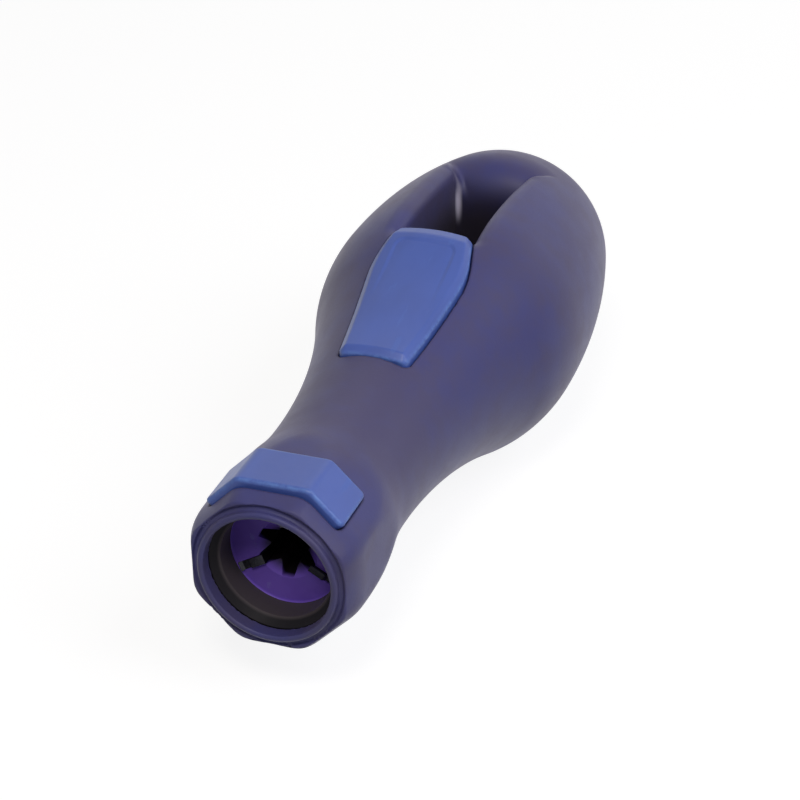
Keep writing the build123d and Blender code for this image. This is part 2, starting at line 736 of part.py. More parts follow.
def screw_holes():
    """Counterbores and screw bores for both sets of core screws."""
    neck_sites, bulb_sites = screw_sites()
    holes = []
    for sites, radius, length, seat in (
        (neck_sites, NECK_SCREW_RADIUS, NECK_SCREW_LENGTH, NECK_SCREW_SEAT),
        (bulb_sites, BULB_SCREW_RADIUS, BULB_SCREW_LENGTH, BULB_SCREW_SEAT),
    ):
        holes.append(cross_bars(sites, radius + FIT, seat - length - 1, seat))
        holes.append(cross_bars(sites, radius * SCREW_HEAD_RATIO + LOOSE_FIT, seat, BIG))
    return holes


def core_half(side):
    """One half of the core, split along the tool's upright middle plane."""
    low, high = (0, BIG) if side > 0 else (-BIG, 0)
    return core_shell() & block(low, high, 0, TOOL_LENGTH, -BIG, BIG)


def pan_screws(sites, radius, length, seat):
    """Pan-head screws along X that pull the right half onto the left."""
    head = Pos(0, 0, radius / 2) * Cylinder(radius * SCREW_HEAD_RATIO, radius)
    shank = Pos(0, 0, -length / 2) * Cylinder(radius, length)
    drive = Pos(0, 0, radius) * (Box(2 * radius, radius / 2, radius) + Box(radius / 2, 2 * radius, radius))
    one = Rot(0, 90, 0) * (head + shank - drive)
    return Compound([Pos(seat, y, z) * one for y, z in sites])


def neck_screws():
    """The two screws in the neck."""
    return pan_screws(screw_sites()[0], NECK_SCREW_RADIUS, NECK_SCREW_LENGTH, NECK_SCREW_SEAT)


def bulb_screws():
    """The three screws in the bulb."""
    return pan_screws(screw_sites()[1], BULB_SCREW_RADIUS, BULB_SCREW_LENGTH, BULB_SCREW_SEAT)


# ---- assembly -----------------------------------------------------------------------------
def all_pieces():
    """Every piece by its name, in order of assembly from the mouth inwards."""
    pieces = {
        "soft_grip": soft_grip(),
        "socket_body": socket_body(),
        "torque_pins": torque_pins(),
        "guide_ring": guide_ring(),
        "snap_ring": snap_ring(),
        "cutter_hub": cutter_hub(),
        "hub_inserts": hub_inserts(),
        "clamp_ring": clamp_ring(),
        "clamp_screws": clamp_screws(),
        "disc_spring": disc_spring(),
        "thumb_plate": thumb_plate(),
        "push_nuts": push_nuts(),
        "chip_chute": chip_chute(),
        "core_left": core_half(-1),
        "core_right": core_half(1),
        "neck_screws": neck_screws(),
        "bulb_screws": bulb_screws(),
    }
    for number, piece in enumerate(blades(), 1):
        pieces[f"blade_{number}"] = piece
    return pieces


def main():
    """Move each piece to the datum and write one STEP file for its node."""
    os.makedirs("parts", exist_ok=True)
    for name, piece in all_pieces().items():
        placed = Pos(0, -DATUM_DEPTH, 0) * piece
        placed.label = name
        export_step(placed, f"parts/{name}.step")


if __name__ == "__main__":
    main()
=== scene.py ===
"""Hand deburring tool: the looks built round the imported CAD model.

The soft outer skin, the blue socket body and the blue thumb plate are meshed here from distance
fields, because all their edges are soft. The other pieces keep their CAD meshes and get their
finishes here. Fields work in millimetres, with points given as x, station and z, where a station
is a distance along the axis from the front of the mouth. Meshes are in metres in the row frame.
"""

import logging
import math
from collections.abc import Callable, Sequence
from dataclasses import dataclass, field
from enum import Enum

import bpy
import numpy as np
from mathutils import Matrix, Vector


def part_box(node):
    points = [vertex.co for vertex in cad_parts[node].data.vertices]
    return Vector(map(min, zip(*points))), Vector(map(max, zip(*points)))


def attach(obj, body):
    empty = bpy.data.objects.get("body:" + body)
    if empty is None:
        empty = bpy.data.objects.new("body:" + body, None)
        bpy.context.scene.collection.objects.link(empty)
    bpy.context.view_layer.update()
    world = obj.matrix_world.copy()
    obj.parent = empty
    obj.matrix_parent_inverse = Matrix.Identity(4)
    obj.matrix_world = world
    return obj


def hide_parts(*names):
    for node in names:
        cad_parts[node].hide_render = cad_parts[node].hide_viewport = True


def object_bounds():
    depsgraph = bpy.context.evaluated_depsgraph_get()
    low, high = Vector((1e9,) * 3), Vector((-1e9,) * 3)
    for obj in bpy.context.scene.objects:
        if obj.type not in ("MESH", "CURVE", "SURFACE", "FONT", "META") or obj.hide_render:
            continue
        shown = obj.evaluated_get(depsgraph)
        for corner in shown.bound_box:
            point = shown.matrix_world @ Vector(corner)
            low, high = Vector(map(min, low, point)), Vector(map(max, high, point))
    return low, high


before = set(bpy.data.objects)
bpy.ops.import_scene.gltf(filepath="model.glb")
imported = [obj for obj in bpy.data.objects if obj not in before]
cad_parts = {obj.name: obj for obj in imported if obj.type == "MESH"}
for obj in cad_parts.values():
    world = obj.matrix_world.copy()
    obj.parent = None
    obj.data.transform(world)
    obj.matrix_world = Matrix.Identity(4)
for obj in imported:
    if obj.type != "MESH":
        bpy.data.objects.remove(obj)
cad_low, cad_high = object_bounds()

MM = 0.001
MOUTH_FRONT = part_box("soft_grip")[0].y
BODY = "root"
EDGE_MARK = "edge"
HIGHLIGHT_MARK = "highlit_corners"
WINDOW_SHADE_MARK = "lining"
OCTANT = math.tau / 8
SHORTEST_NORMAL = 1e-9
CELLS_ROUND_EDGE = ((-1, -1), (0, -1), (0, 0), (-1, 0))
QUAD_SIDES = ((0, 1), (1, 2), (2, 3), (3, 0))
FACE_CORNERS = 4
NOISE_MIDDLE = 0.5

Points = np.ndarray
Pair = tuple[float, float]
Triple = tuple[float, float, float]
Stops = tuple[Pair, ...]
Colour = Triple
Field = Callable[[Points], np.ndarray]
log = logging.getLogger("deburring_tool")


class Slot(Enum):
    """The record's material slots."""

    GRIP = "grip_elastomer"
    BLUE = "blue_plastic"
    LINER = "liner_plastic"
    DARK = "dark_plastic"
    BLADE = "blade_steel"
    STAINLESS = "stainless_steel"
    SCREW = "screw_steel"
    SPRING = "spring_steel"
    BRASS = "insert_brass"


# ---- distance fields ----------------------------------------------------------------------
def soft_max(first: np.ndarray, second: np.ndarray, width: float) -> np.ndarray:
    """Joins two fields as their intersection, with the crease smoothed.

    Args:
        first: one field's values.
        second: the other field's values.
        width: how far apart the values may be and still blend.

    Returns:
        The joined values.
    """
    overlap = np.maximum(width - np.abs(first - second), 0.0)
    return np.maximum(first, second) + overlap**2 / (4 * width)


def round_max(first: np.ndarray, second: np.ndarray, radius: float | np.ndarray) -> np.ndarray:
    """Joins two fields as their intersection, with the corner rounded to a radius.

    Args:
        first: one field's values.
        second: the other field's values.
        radius: radius of the round, one value or one for each point.

    Returns:
        The joined values.
    """
    flat = np.minimum(np.maximum(first, second), -radius)
    return flat + np.hypot(np.maximum(first + radius, 0.0), np.maximum(second + radius, 0.0))


def bevel_max(first: np.ndarray, second: np.ndarray, leg: float, width: float) -> np.ndarray:
    """Joins two fields as their intersection, with a bevel whose own creases are soft.

    Args:
        first: one field's values.
        second: the other field's values.
        leg: the bevel's leg on each face.
        width: width of the soft creases.

    Returns:
        The joined values.
    """
    bevel = (first + second + leg) * math.sqrt(0.5)
    return soft_max(soft_max(first, second, width), bevel, width)


def round_min(first: np.ndarray, second: np.ndarray, radius: float) -> np.ndarray:
    """Joins two fields as their union, with a fillet of that radius in the corner."""
    return -round_max(-first, -second, radius)


def ramp(values: np.ndarray, start: float, end: float) -> np.ndarray:
    """A smooth step from 0 before start to 1 after end."""
    share = np.clip((values - start) / (end - start), 0.0, 1.0)
    return share * share * (3 - 2 * share)


def about_axis(points: Points) -> tuple[np.ndarray, np.ndarray]:
    """Each point's station and its distance from the axis."""
    return points[:, 1], np.hypot(points[:, 0], points[:, 2])


def oblong(points: Points, half_width: float, ends: Pair, corner: float) -> np.ndarray:
    """Distance from an oblong with rounded corners, as seen from above.

    Args:
        points: where to measure.
        half_width: half of its width, which lies evenly about the axis.
        ends: the stations of its two ends.
        corner: radius of its corners.

    Returns:
        The distances.
    """
    middle, half_length = (ends[0] + ends[1]) / 2, (ends[1] - ends[0]) / 2
    side = np.abs(points[:, 0]) - half_width
    return round_max(side, np.abs(points[:, 1] - middle) - half_length, corner)


def graded(*stops: Pair) -> np.ndarray:
    """Grid lines whose spacing changes evenly between stops.

    Args:
        stops: pairs of a position and the spacing there, in order.

    Returns:
        The positions of the grid lines.
    """
    lines = [np.array([stops[0][0]])]
    for (start, near), (end, far) in zip(stops, stops[1:]):
        count = max(1, math.ceil(2 * (end - start) / (near + far)))
        share = np.arange(1, count + 1) / count
        growth = (near * share + (far - near) * share**2 / 2) / ((near + far) / 2)
        lines.append(start + (end - start) * growth)
    return np.concatenate(lines)


def mirrored(*stops: Pair) -> np.ndarray:
    """Grid lines on both sides of zero, from stops on the positive side that start at zero."""
    half = graded(*stops)
    return np.concatenate([-half[:0:-1], half])


@dataclass(frozen=True)
class Grid:
    """An uneven grid, as stops of a position and the spacing there."""

    across: Stops
    stations: Stops
    heights: Stops

    def axes(self) -> tuple[np.ndarray, np.ndarray, np.ndarray]:
        """The grid lines along each axis; those across are the same on both sides."""
        return mirrored(*self.across), graded(*self.stations), graded(*self.heights)


# ---- meshing ------------------------------------------------------------------------------
@dataclass
class SurfaceNet:
    """Meshes a distance field on an uneven grid, with one point in each cell it crosses."""

    shape: Field
    axes: tuple[np.ndarray, np.ndarray, np.ndarray]
    probe: float = 0.02
    longest_step: float = 0.4
    least_steepness: float = 0.2
    first_rounds: int = 4
    easing_rounds: int = 3
    last_rounds: int = 3

    def sample(self) -> np.ndarray:
        """Values of the field at every grid point, worked out one station at a time.

        Returns:
            The values, by place across, along and up.
        """
        across, stations, heights = self.axes
        x, z = np.meshgrid(across, heights, indexing="ij")
        values = np.empty((len(across), len(stations), len(heights)))
        points = np.stack([x.ravel(), np.zeros(x.size), z.ravel()], axis=1)
        for index, station in enumerate(stations):
            points[:, 1] = station
            values[:, index, :] = self.shape(points).reshape(x.shape)
        return values

    def crossings(self, values: np.ndarray, axis: int) -> tuple[Points, np.ndarray]:
        """Where the surface crosses the grid's edges along one axis.

        Args:
            values: the field at every grid point.
            axis: the axis that the edges run along.

        Returns:
            The crossing points, and for each the four cells round its edge, in order
            about the outward direction.
        """
        cells = np.array(values.shape) - 1
        inside = values < 0
        count = values.shape[axis]
        lower = inside.take(range(count - 1), axis)
        upper = inside.take(range(1, count), axis)
        where = np.argwhere(lower != upper)
        step = np.eye(3, dtype=int)[axis]
        near = values[tuple(where.T)]
        far = values[tuple((where + step).T)]
        points = np.stack([self.axes[a][where[:, a]] for a in range(3)], axis=1)
        lines = self.axes[axis]
        reach = lines[where[:, axis] + 1] - lines[where[:, axis]]
        points[:, axis] += near / (near - far) * reach
        ring = []
        for one, two in CELLS_ROUND_EDGE:
            cell = where.copy()
            cell[:, (axis + 1) % 3] += one
            cell[:, (axis + 2) % 3] += two
            ring.append(np.ravel_multi_index(cell.T, cells))
        ring = np.stack(ring, axis=1)
        backward = ~lower[tuple(where.T)]
        ring[backward] = ring[backward][:, ::-1]
        return points, ring

    def slope(self, points: Points) -> tuple[np.ndarray, Points]:
        """The field's value and its gradient at each point.

        Args:
            points: where to measure.

        Returns:
            The values, and the gradient at each point.
        """
        gradient = np.empty_like(points)
        for axis in range(3):
            step = np.zeros(3)
            step[axis] = self.probe
            rise = self.shape(points + step) - self.shape(points - step)
            gradient[:, axis] = rise / (2 * self.probe)
        return self.shape(points), gradient

    def settle(self, points: Points, rounds: int) -> Points:
        """Moves points along the field's gradient until they lie on the surface.

        Args:
            points: the points to move.
            rounds: how many steps to take.

        Returns:
            The moved points.
        """
        for _ in range(rounds):
            value, gradient = self.slope(points)
            steepness = np.maximum((gradient**2).sum(axis=1), self.least_steepness)
            step = np.clip(value / steepness, -self.longest_step, self.longest_step)
            points = points - gradient * step[:, None]
        return points

    def ease(self, points: Points, quads: np.ndarray) -> Points:
        """Evens out the points' spacing, keeping them on the surface.

        Args:
            points: the mesh's points.
            quads: its faces, as the numbers of four points each.

        Returns:
            The moved points.
        """
        for _ in range(self.easing_rounds):
            total = np.zeros_like(points)
            shares = np.zeros(len(points))
            for side in QUAD_SIDES:
                near, far = quads[:, side[0]], quads[:, side[1]]
                for here, there in ((near, far), (far, near)):
                    shares += np.bincount(here, minlength=len(points))
                    for axis in range(3):
                        weights = points[there, axis]
                        total[:, axis] += np.bincount(here, weights, minlength=len(points))
            points = self.settle((points + total / shares[:, None]) / 2, 1)
        return points

    def mesh(self) -> tuple[Points, np.ndarray, Points]:
        """Meshes the field.

        Returns:
            The points in millimetres, the four-sided faces, and the unit normals.
        """
        values = self.sample()
        total = int(np.prod(np.array(values.shape) - 1))
        sums = np.zeros((total, 3))
        hits = np.zeros(total)
        rings = []
        for axis in range(3):
            points, ring = self.crossings(values, axis)
            flat = ring.ravel()
            hits += np.bincount(flat, minlength=total)
            for part in range(3):
                weights = np.repeat(points[:, part], FACE_CORNERS)
                sums[:, part] += np.bincount(flat, weights, minlength=total)
            rings.append(ring)
        used, quads = np.unique(np.concatenate(rings), return_inverse=True)
        quads = quads.reshape(-1, FACE_CORNERS)
        points = self.settle(sums[used] / hits[used, None], self.first_rounds)
        points = self.settle(self.ease(points, quads), self.last_rounds)
        normals = self.slope(points)[1]
        normals /= np.maximum(np.linalg.norm(normals, axis=1), SHORTEST_NORMAL)[:, None]
        return points, quads, normals


def to_row(points: Points) -> Points:
    """Turns x, station and z in millimetres into the row frame in metres."""
    return points * MM + np.array((0.0, MOUTH_FRONT, 0.0))


def new_piece(name: str, net: SurfaceNet, marks: dict[str, Field]) -> bpy.types.Object:
    """Makes an object from a meshed field.

    Args:
        name: the new piece's name.
        net: the field and the grid that it is meshed on.
        marks: for each mark that the finish reads, its strength at a point, from 0 to 1.

    Returns:
        The new object, smooth shaded with the field's own normals.
    """
    points, quads, normals = net.mesh()
    mesh = bpy.data.meshes.new(name)
    mesh.from_pydata(to_row(points).tolist(), [], quads.tolist())
    mesh.polygons.foreach_set("use_smooth", np.ones(len(quads), dtype=bool))
    for mark, strength in marks.items():
        kept = mesh.attributes.new(mark, "FLOAT", "POINT")
        kept.data.foreach_set("value", np.clip(strength(points), 0, 1).astype(np.float32))
    mesh.normals_split_custom_set_from_vertices(normals.tolist())
    mesh.update()
    made = bpy.data.objects.new(name, mesh)
    bpy.context.scene.collection.objects.link(made)
    log.info("%s: %d points, %d faces", name, len(points), len(quads))
    return made


# ---- the tool's outer form ----------------------------------------------------------------
@dataclass(frozen=True)
class Arc:
    """One arc of the side outline, from its start on to the next arc's start."""

    centre: Pair
    radius: float
    start: Pair
    hollow: bool = False

    def distance(self, station: np.ndarray, radius: np.ndarray) -> np.ndarray:
        """Distance from the arc's circle, above zero outside the tool."""
        reach = np.hypot(station - self.centre[0], radius - self.centre[1]) - self.radius
        return -reach if self.hollow else reach

    def is_past_start(self, station: np.ndarray, radius: np.ndarray) -> np.ndarray:
        """Whether each point lies past the arc's start, along the outline.

        Args:
            station: each point's station.
            radius: each point's distance from the axis.

        Returns:
            True for each point that lies past it.
        """
        out = (self.start[0] - self.centre[0], self.start[1] - self.centre[1])
        if self.hollow:
            out = (-out[0], -out[1])
        return (station - self.start[0]) * out[1] - (radius - self.start[1]) * out[0] > 0


@dataclass(frozen=True)
class ToolForm:
    """The tool's smooth outer form: an octagonal head, a round neck and a round bulb."""

    length: float = 150.0
    front: Pair = (0.9, 14.7)
    head_edge: Pair = (5.0, 16.0)
    head_widest: Pair = (10.6, 16.35)
    narrowest: Pair = (32.4, 14.3)
    bulb_widest: Pair = (98.0, 26.58)
    head_bend: float = 0.6
    neck_bend: float = 0.75
    crown_bluntness: float = 0.845
    flat: float = 15.3
    corner: float = 2.4
    flat_blend: float = 0.35
    flats_fade_start: float = 24.0
    flats_fade: float = 0.5
    flats_full: float = 7.0
    front_droop: float = 1.35

    def waist(self, first: Pair, last: Pair, bend: float) -> list[Arc]:
        """Two arcs that run on into each other, level with the axis at both ends.

        Args:
            first: station and radius where they start.
            last: station and radius where they end.
            bend: the share of the way at which they meet.

        Returns:
            The two arcs.
        """
        run, rise = last[0] - first[0], last[1] - first[1]
        turn = (first[0] + bend * run, first[1] + bend * rise)
        size = (run**2 + rise**2) / (2 * abs(rise))
        side = math.copysign(1.0, rise)
        leaving = (first[0], first[1] + side * bend * size)
        arriving = (last[0], last[1] - side * (1 - bend) * size)
        return [
            Arc(leaving, bend * size, first, hollow=rise > 0),
            Arc(arriving, (1 - bend) * size, turn, hollow=rise < 0),
        ]

    def cheek(self) -> list[Arc]:
        """The rounded front of the head, from the mouth to its widest ring.

        Returns:
            A small nose arc, then the long arc of the cheek.
        """
        run = self.head_widest[0] - self.head_edge[0]
        rise = self.head_widest[1] - self.head_edge[1]
        size = (run**2 + rise**2) / (2 * rise)
        centre = (self.head_widest[0], self.head_widest[1] - size)
        out = (-run / size, (self.head_edge[1] - centre[1]) / size)
        gap = (self.head_edge[0] - self.front[0], self.head_edge[1] - self.front[1])
        nose = (gap[0] ** 2 + gap[1] ** 2) / (2 * (out[0] * gap[0] + out[1] * gap[1]))
        nose_centre = (self.head_edge[0] - nose * out[0], self.head_edge[1] - nose * out[1])
        return [Arc(nose_centre, nose, self.front), Arc(centre, size, self.head_edge)]

    def crown(self) -> list[Arc]:
        """The bulb's rear end: a long side arc, then a blunt end arc.

        Returns:
            The two arcs.
        """
        station, bulb = self.bulb_widest
        run = self.length - station
        blunt = self.crown_bluntness * bulb
        side = (bulb**2 + run**2 - 2 * run * blunt) / (2 * (bulb - blunt))
        lean = math.atan2(run - blunt, side - bulb)
        end = (self.length - blunt, 0.0)
        meeting = (end[0] + blunt * math.sin(lean), blunt * math.cos(lean))
        return [Arc((station, bulb - side), side, self.bulb_widest), Arc(end, blunt, meeting)]

    def arcs(self) -> list[Arc]:
        """The whole outline, from the mouth to the tip of the bulb.

        Returns:
            The arcs, in order from the mouth.
        """
        back = self.waist(self.head_widest, self.narrowest, self.head_bend)
        neck = self.waist(self.narrowest, self.bulb_widest, self.neck_bend)
        return [*self.cheek(), *back, *neck, *self.crown()]

    def turned(self, points: Points) -> np.ndarray:
        """Distance from the turned outline, before the head gets its flats.

        Args:
            points: where to measure.

        Returns:
            The distances.
        """
        station, radius = about_axis(points)
        first, *rest = self.arcs()
        nearest = first.distance(station, radius)
        for arc in rest:
            past = arc.is_past_start(station, radius)
            nearest = np.where(past, arc.distance(station, radius), nearest)
        return nearest

    def neck_radius(self, station: np.ndarray) -> np.ndarray:
        """The turned outline's radius at stations between the neck and the bulb's widest ring.

        Args:
            station: the stations.

        Returns:
            The radius at each of them.
        """
        dip, swell = self.waist(self.narrowest, self.bulb_widest, self.neck_bend)
        dip_reach, swell_reach = (
            np.sqrt(np.maximum(arc.radius**2 - (station - arc.centre[0]) ** 2, 0.0))
            for arc in (dip, swell)
        )
        dipping, swelling = dip.centre[1] - dip_reach, swell.centre[1] + swell_reach
        return np.where(station < swell.start[0], dipping, swelling)

    def octagon(self, points: Points, flat: float | np.ndarray, corner: float) -> np.ndarray:
        """Distance from a prism of eight flats along the axis, with rounded corners.

        Args:
            points: where to measure.
            flat: distance of each flat from the axis.
            corner: radius of the rounded corners.

        Returns:
            The distances.
        """
        angle = np.arctan2(points[:, 0], points[:, 2])
        angle = np.abs(angle - np.round(angle / OCTANT) * OCTANT)
        radius = np.hypot(points[:, 0], points[:, 2])
        out, along = radius * np.cos(angle), radius * np.sin(angle)
        half_side = (flat - corner) * math.tan(OCTANT / 2)
        rounded = np.hypot(out - (flat - corner), along - half_side) - corner
        return np.where(along < half_side, out - flat, rounded)

    def distance(self, points: Points) -> np.ndarray:
        """Distance from the whole form, with the mouth's front still open.

        Args:
            points: where to measure.

        Returns:
            The distances.
        """
        fade = self.flats_fade * np.maximum(points[:, 1] - self.flats_fade_start, 0.0)
        nearness = (self.flats_full - points[:, 1]) / (self.flats_full - self.front[0])
        droop = self.front_droop * np.clip(nearness, 0.0, 1.0) ** 2
        flats = self.octagon(points, self.flat - droop, self.corner) - fade
        return soft_max(self.turned(points), flats, self.flat_blend)


@dataclass(frozen=True)
class BandShape:
    """The raised band over the head's top flat and half of each flat beside it."""

    start: float = 4.5
    length: float = 10.9
    half_angle: float = 51.5
    flat: float = 16.3
    corner: float = 2.2
    edge: float = 0.75
    plan_corner: float = 1.1
    edge_reach: float = 0.9

    def plan(self, points: Points) -> np.ndarray:
        """Distance from the band's sides, as seen square on to them.

        Args:
            points: where to measure.

        Returns:
            The distances.
        """
        ends = np.abs(points[:, 1] - (self.start + self.length / 2)) - self.length / 2
        lean = math.radians(self.half_angle)
        sides = np.abs(points[:, 0]) * math.cos(lean) - points[:, 2] * math.sin(lean)
        return round_max(ends, sides, self.plan_corner)

    def distance(self, points: Points, form: ToolForm) -> np.ndarray:
        """Distance from the band, carried down to the axis."""
        top = form.octagon(points, self.flat, self.corner)
        return round_max(top, self.plan(points), self.edge)

    def edge_mark(self, points: Points, form: ToolForm) -> np.ndarray:
        """How near each point is to the band's rim, from 0 to 1."""
        top = form.octagon(points, self.flat, self.corner)
        return 1 - np.abs(top - self.plan(points)) / self.edge_reach


@dataclass(frozen=True)
class PlateShape:
    """The thumb plate's plan and raised top, which end at the chip window."""

    front: float = 52.2
    kink: float = 78.2
    rear: float = 88.0
    front_half: float = 6.7
    kink_half: float = 9.8
    rear_half: float = 7.6
    front_corner: float = 1.2
    rear_corner: float = 1.5
    kink_blend: float = 1.3
    dish_half: float = 6.4
    dish_rear: float = 83.2
    dish_corner: float = 2.2
    dish_depth: float = 0.28
    dish_slope: float = 0.8
    dish_fade: Pair = (64.0, 79.0)
    lift: float = 1.05
    crown: float = 36.0
    bevel: float = 1.15
    bevel_softness: float = 0.22
    crest: float = 84.3
    crest_fall: float = 0.10
    crest_softness: float = 0.2

    def side(self, points: Points, near: Pair, far: Pair) -> np.ndarray:
        """Distance from one straight stretch of the plan's side, above zero outside.

        Args:
            points: where to measure.
            near: station and half width where the stretch starts.
            far: station and half width where it ends.

        Returns:
            The distances.
        """
        run, widen = far[0] - near[0], far[1] - near[1]
        size = math.hypot(run, widen)
        return ((np.abs(points[:, 0]) - near[1]) * run - (points[:, 1] - near[0]) * widen) / size

    def plan(self, points: Points) -> np.ndarray:
        """Distance from the plan's outline, seen from above.

        Args:
            points: where to measure.

        Returns:
            The distances.
        """
        kink = (self.kink, self.kink_half)
        sides = soft_max(
            self.side(points, (self.front, self.front_half), kink),
            self.side(points, kink, (self.rear, self.rear_half)),
            self.kink_blend,
        )
        outline = round_max(sides, self.front - points[:, 1], self.front_corner)
        return round_max(outline, points[:, 1] - self.rear, self.rear_corner)

    def top(self, points: Points, form: ToolForm) -> np.ndarray:
        """Distance from the raised top, flatter across than the skin and falling at its rear.

        Args:
            points: where to measure.
            form: the skin's outer form, which the top follows.

        Returns:
            The distances.
        """
        across = points[:, 0] ** 2 / (2 * self.crown)
        main = form.neck_radius(points[:, 1]) + self.lift
        crest = form.neck_radius(np.array(self.crest)) + self.lift
        rear = crest - self.crest_fall * (points[:, 1] - self.crest)
        raised = soft_max(points[:, 2] - main, points[:, 2] - rear, self.crest_softness) + across
        rim = np.abs(points[:, 0]) - self.dish_half, points[:, 1] - self.dish_rear
        inside = ramp(-round_max(*rim, self.dish_corner), 0.0, self.dish_slope)
        return raised + self.dish_depth * inside * ramp(points[:, 1], *self.dish_fade)


# ---- shader nodes -------------------------------------------------------------------------
class Value:
    """A shader value that takes part in sums: each operator adds one Math node."""

    def __init__(self, shader: "ShaderTree", socket: bpy.types.NodeSocket) -> None:
        """Wraps a socket of a tree."""
        self.shader = shader
        self.socket = socket

    def _math(self, operation: str, first: object, second: object, clamp: bool = False) -> "Value":
        """Adds a Math node.

        Args:
            operation: the node's operation.
            first: its first value or link.
            second: its second value or link.
            clamp: whether the result is held between 0 and 1.

        Returns:
            The node's result.
        """
        settings = {"operation": operation, "use_clamp": clamp}
        return self.shader.value("ShaderNodeMath", settings, {0: first, 1: second})

    def __add__(self, other: object) -> "Value":
        """This value plus another."""
        return self._math("ADD", self, other)

    def __radd__(self, other: object) -> "Value":
        """Another value plus this one."""
        return self._math("ADD", other, self)

    def __sub__(self, other: object) -> "Value":
        """This value less another."""
        return self._math("SUBTRACT", self, other)

    def __rsub__(self, other: object) -> "Value":
        """Another value less this one."""
        return self._math("SUBTRACT", other, self)

    def __mul__(self, other: object) -> "Value":
        """This value times another."""
        return self._math("MULTIPLY", self, other)

    def __rmul__(self, other: object) -> "Value":
        """Another value times this one."""
        return self._math("MULTIPLY", other, self)

    def __pow__(self, other: object) -> "Value":
        """This value to a power."""
        return self._math("POWER", self, other)

    def clamped(self) -> "Value":
        """This value held between 0 and 1."""
        return self._math("ADD", self, 0.0, clamp=True)


class ShaderTree:
    """Adds nodes to one material's or world's tree."""

    def __init__(self, tree: bpy.types.NodeTree) -> None:
        """Starts from an empty tree."""
        self.tree = tree
        self.tree.nodes.clear()

    def node(
        self,
        kind: str,
        settings: dict[str, object] | None = None,
        inputs: dict[str | int, object] | None = None,
    ) -> bpy.types.Node:
        """Adds one node.

        Args:
            kind: the node's type.
            settings: what is set on the node itself, before its sockets.
            inputs: values or links of its sockets, by name or number.

        Returns:
            The new node.
        """
        made = self.tree.nodes.new(kind)
        for key, value in (settings or {}).items():
            setattr(made, key, value)
        for key, value in (inputs or {}).items():
            self.feed(made.inputs[key], value)
        return made

    def feed(self, socket: bpy.types.NodeSocket, value: object) -> None:
        """Links a value to a socket, or sets the socket to a number or colour.

        Args:
            socket: the socket to feed.
            value: a shader value, another socket, or a number or colour.
        """
        if isinstance(value, Value):
            self.tree.links.new(value.socket, socket)
        elif isinstance(value, bpy.types.NodeSocket):
            self.tree.links.new(value, socket)
        else:
            socket.default_value = value

    def value(
        self,
        kind: str,
        settings: dict[str, object] | None = None,
        inputs: dict[str | int, object] | None = None,
        output: str | int = 0,
    ) -> Value:
        """Adds one node and wraps one of its outputs."""
        return Value(self, self.node(kind, settings, inputs).outputs[output])

    def place(self) -> bpy.types.NodeSocket:
        """Where each point of the piece lies, in metres."""
        return self.node("ShaderNodeTexCoord").outputs["Object"]

    def noise(self, scale: float, detail: float, along: float = 1.0) -> Value:
        """Noise that is fixed to the piece, from 0 to 1.

        Args:
            scale: how many features there are to a metre.
            detail: how many finer layers are added.
            along: how many there are along the tool's axis, as a share of the scale.

        Returns:
            The noise.
        """
        place = self.place()
        if along != 1.0:
            inputs = {"Vector": place, "Scale": Vector((1.0, along, 1.0))}
            place = self.node("ShaderNodeMapping", inputs=inputs).outputs[0]
        inputs = {"Vector": place, "Scale": scale, "Detail": detail}
        return self.value("ShaderNodeTexNoise", {"noise_dimensions": "3D"}, inputs, "Fac")

    def axis_distance(self) -> Value:
        """Distance from the tool's axis, in metres.

        Returns:
            The distance.
        """
        inputs = {0: self.place(), 1: Vector((1.0, 0.0, 1.0))}
        flat = self.value("ShaderNodeVectorMath", {"operation": "MULTIPLY"}, inputs)
        return self.value("ShaderNodeVectorMath", {"operation": "LENGTH"}, {0: flat}, "Value")

    def spread(self, source: Value, low: float, high: float) -> Value:
        """Stretches the part of a value between low and high over 0 to 1, smoothly.

        Args:
            source: the value to stretch.
            low: what becomes 0.
            high: what becomes 1; it may be the smaller of the two.

        Returns:
            The stretched value.
        """
        settings = {"interpolation_type": "SMOOTHSTEP"}
        inputs = {"Value": source, "From Min": low, "From Max": high}
        return self.value("ShaderNodeMapRange", settings, inputs)

    def blend(self, share: Value, first: object, second: object) -> Value:
        """Mixes two colours by a share."""
        inputs = {0: share, 6: first, 7: second}
        return self.value("ShaderNodeMix", {"data_type": "RGBA"}, inputs, 2)

    def bump(self, height: Value, strength: float, distance: float) -> Value:
        """The normal of a surface with fine relief.

        Args:
            height: the relief's height, as a share of the distance.
            strength: how strongly it shows.
            distance: the relief's depth in metres.

        Returns:
            The normal.
        """
        inputs = {"Height": height, "Strength": strength, "Distance": distance}
        return self.value("ShaderNodeBump", inputs=inputs)

    def mark(self, name: str) -> Value:
        """A mark that was kept with the mesh, from 0 to 1."""
        return self.value("ShaderNodeAttribute", {"attribute_name": name}, output="Fac")


def weighted(parts: Sequence[Value], weights: Sequence[float]) -> Value:
    """The sum of shader values, each times its own weight.

    Args:
        parts: the values.
        weights: a weight for each of them, in the same order.

    Returns:
        The sum.
    """
    first, *rest = (part * weight for part, weight in zip(parts, weights, strict=True))
    return sum(rest, first)


def rgba(colour: Colour) -> tuple[float, float, float, float]:
    """A colour with full opacity."""
    return (*colour, 1.0)


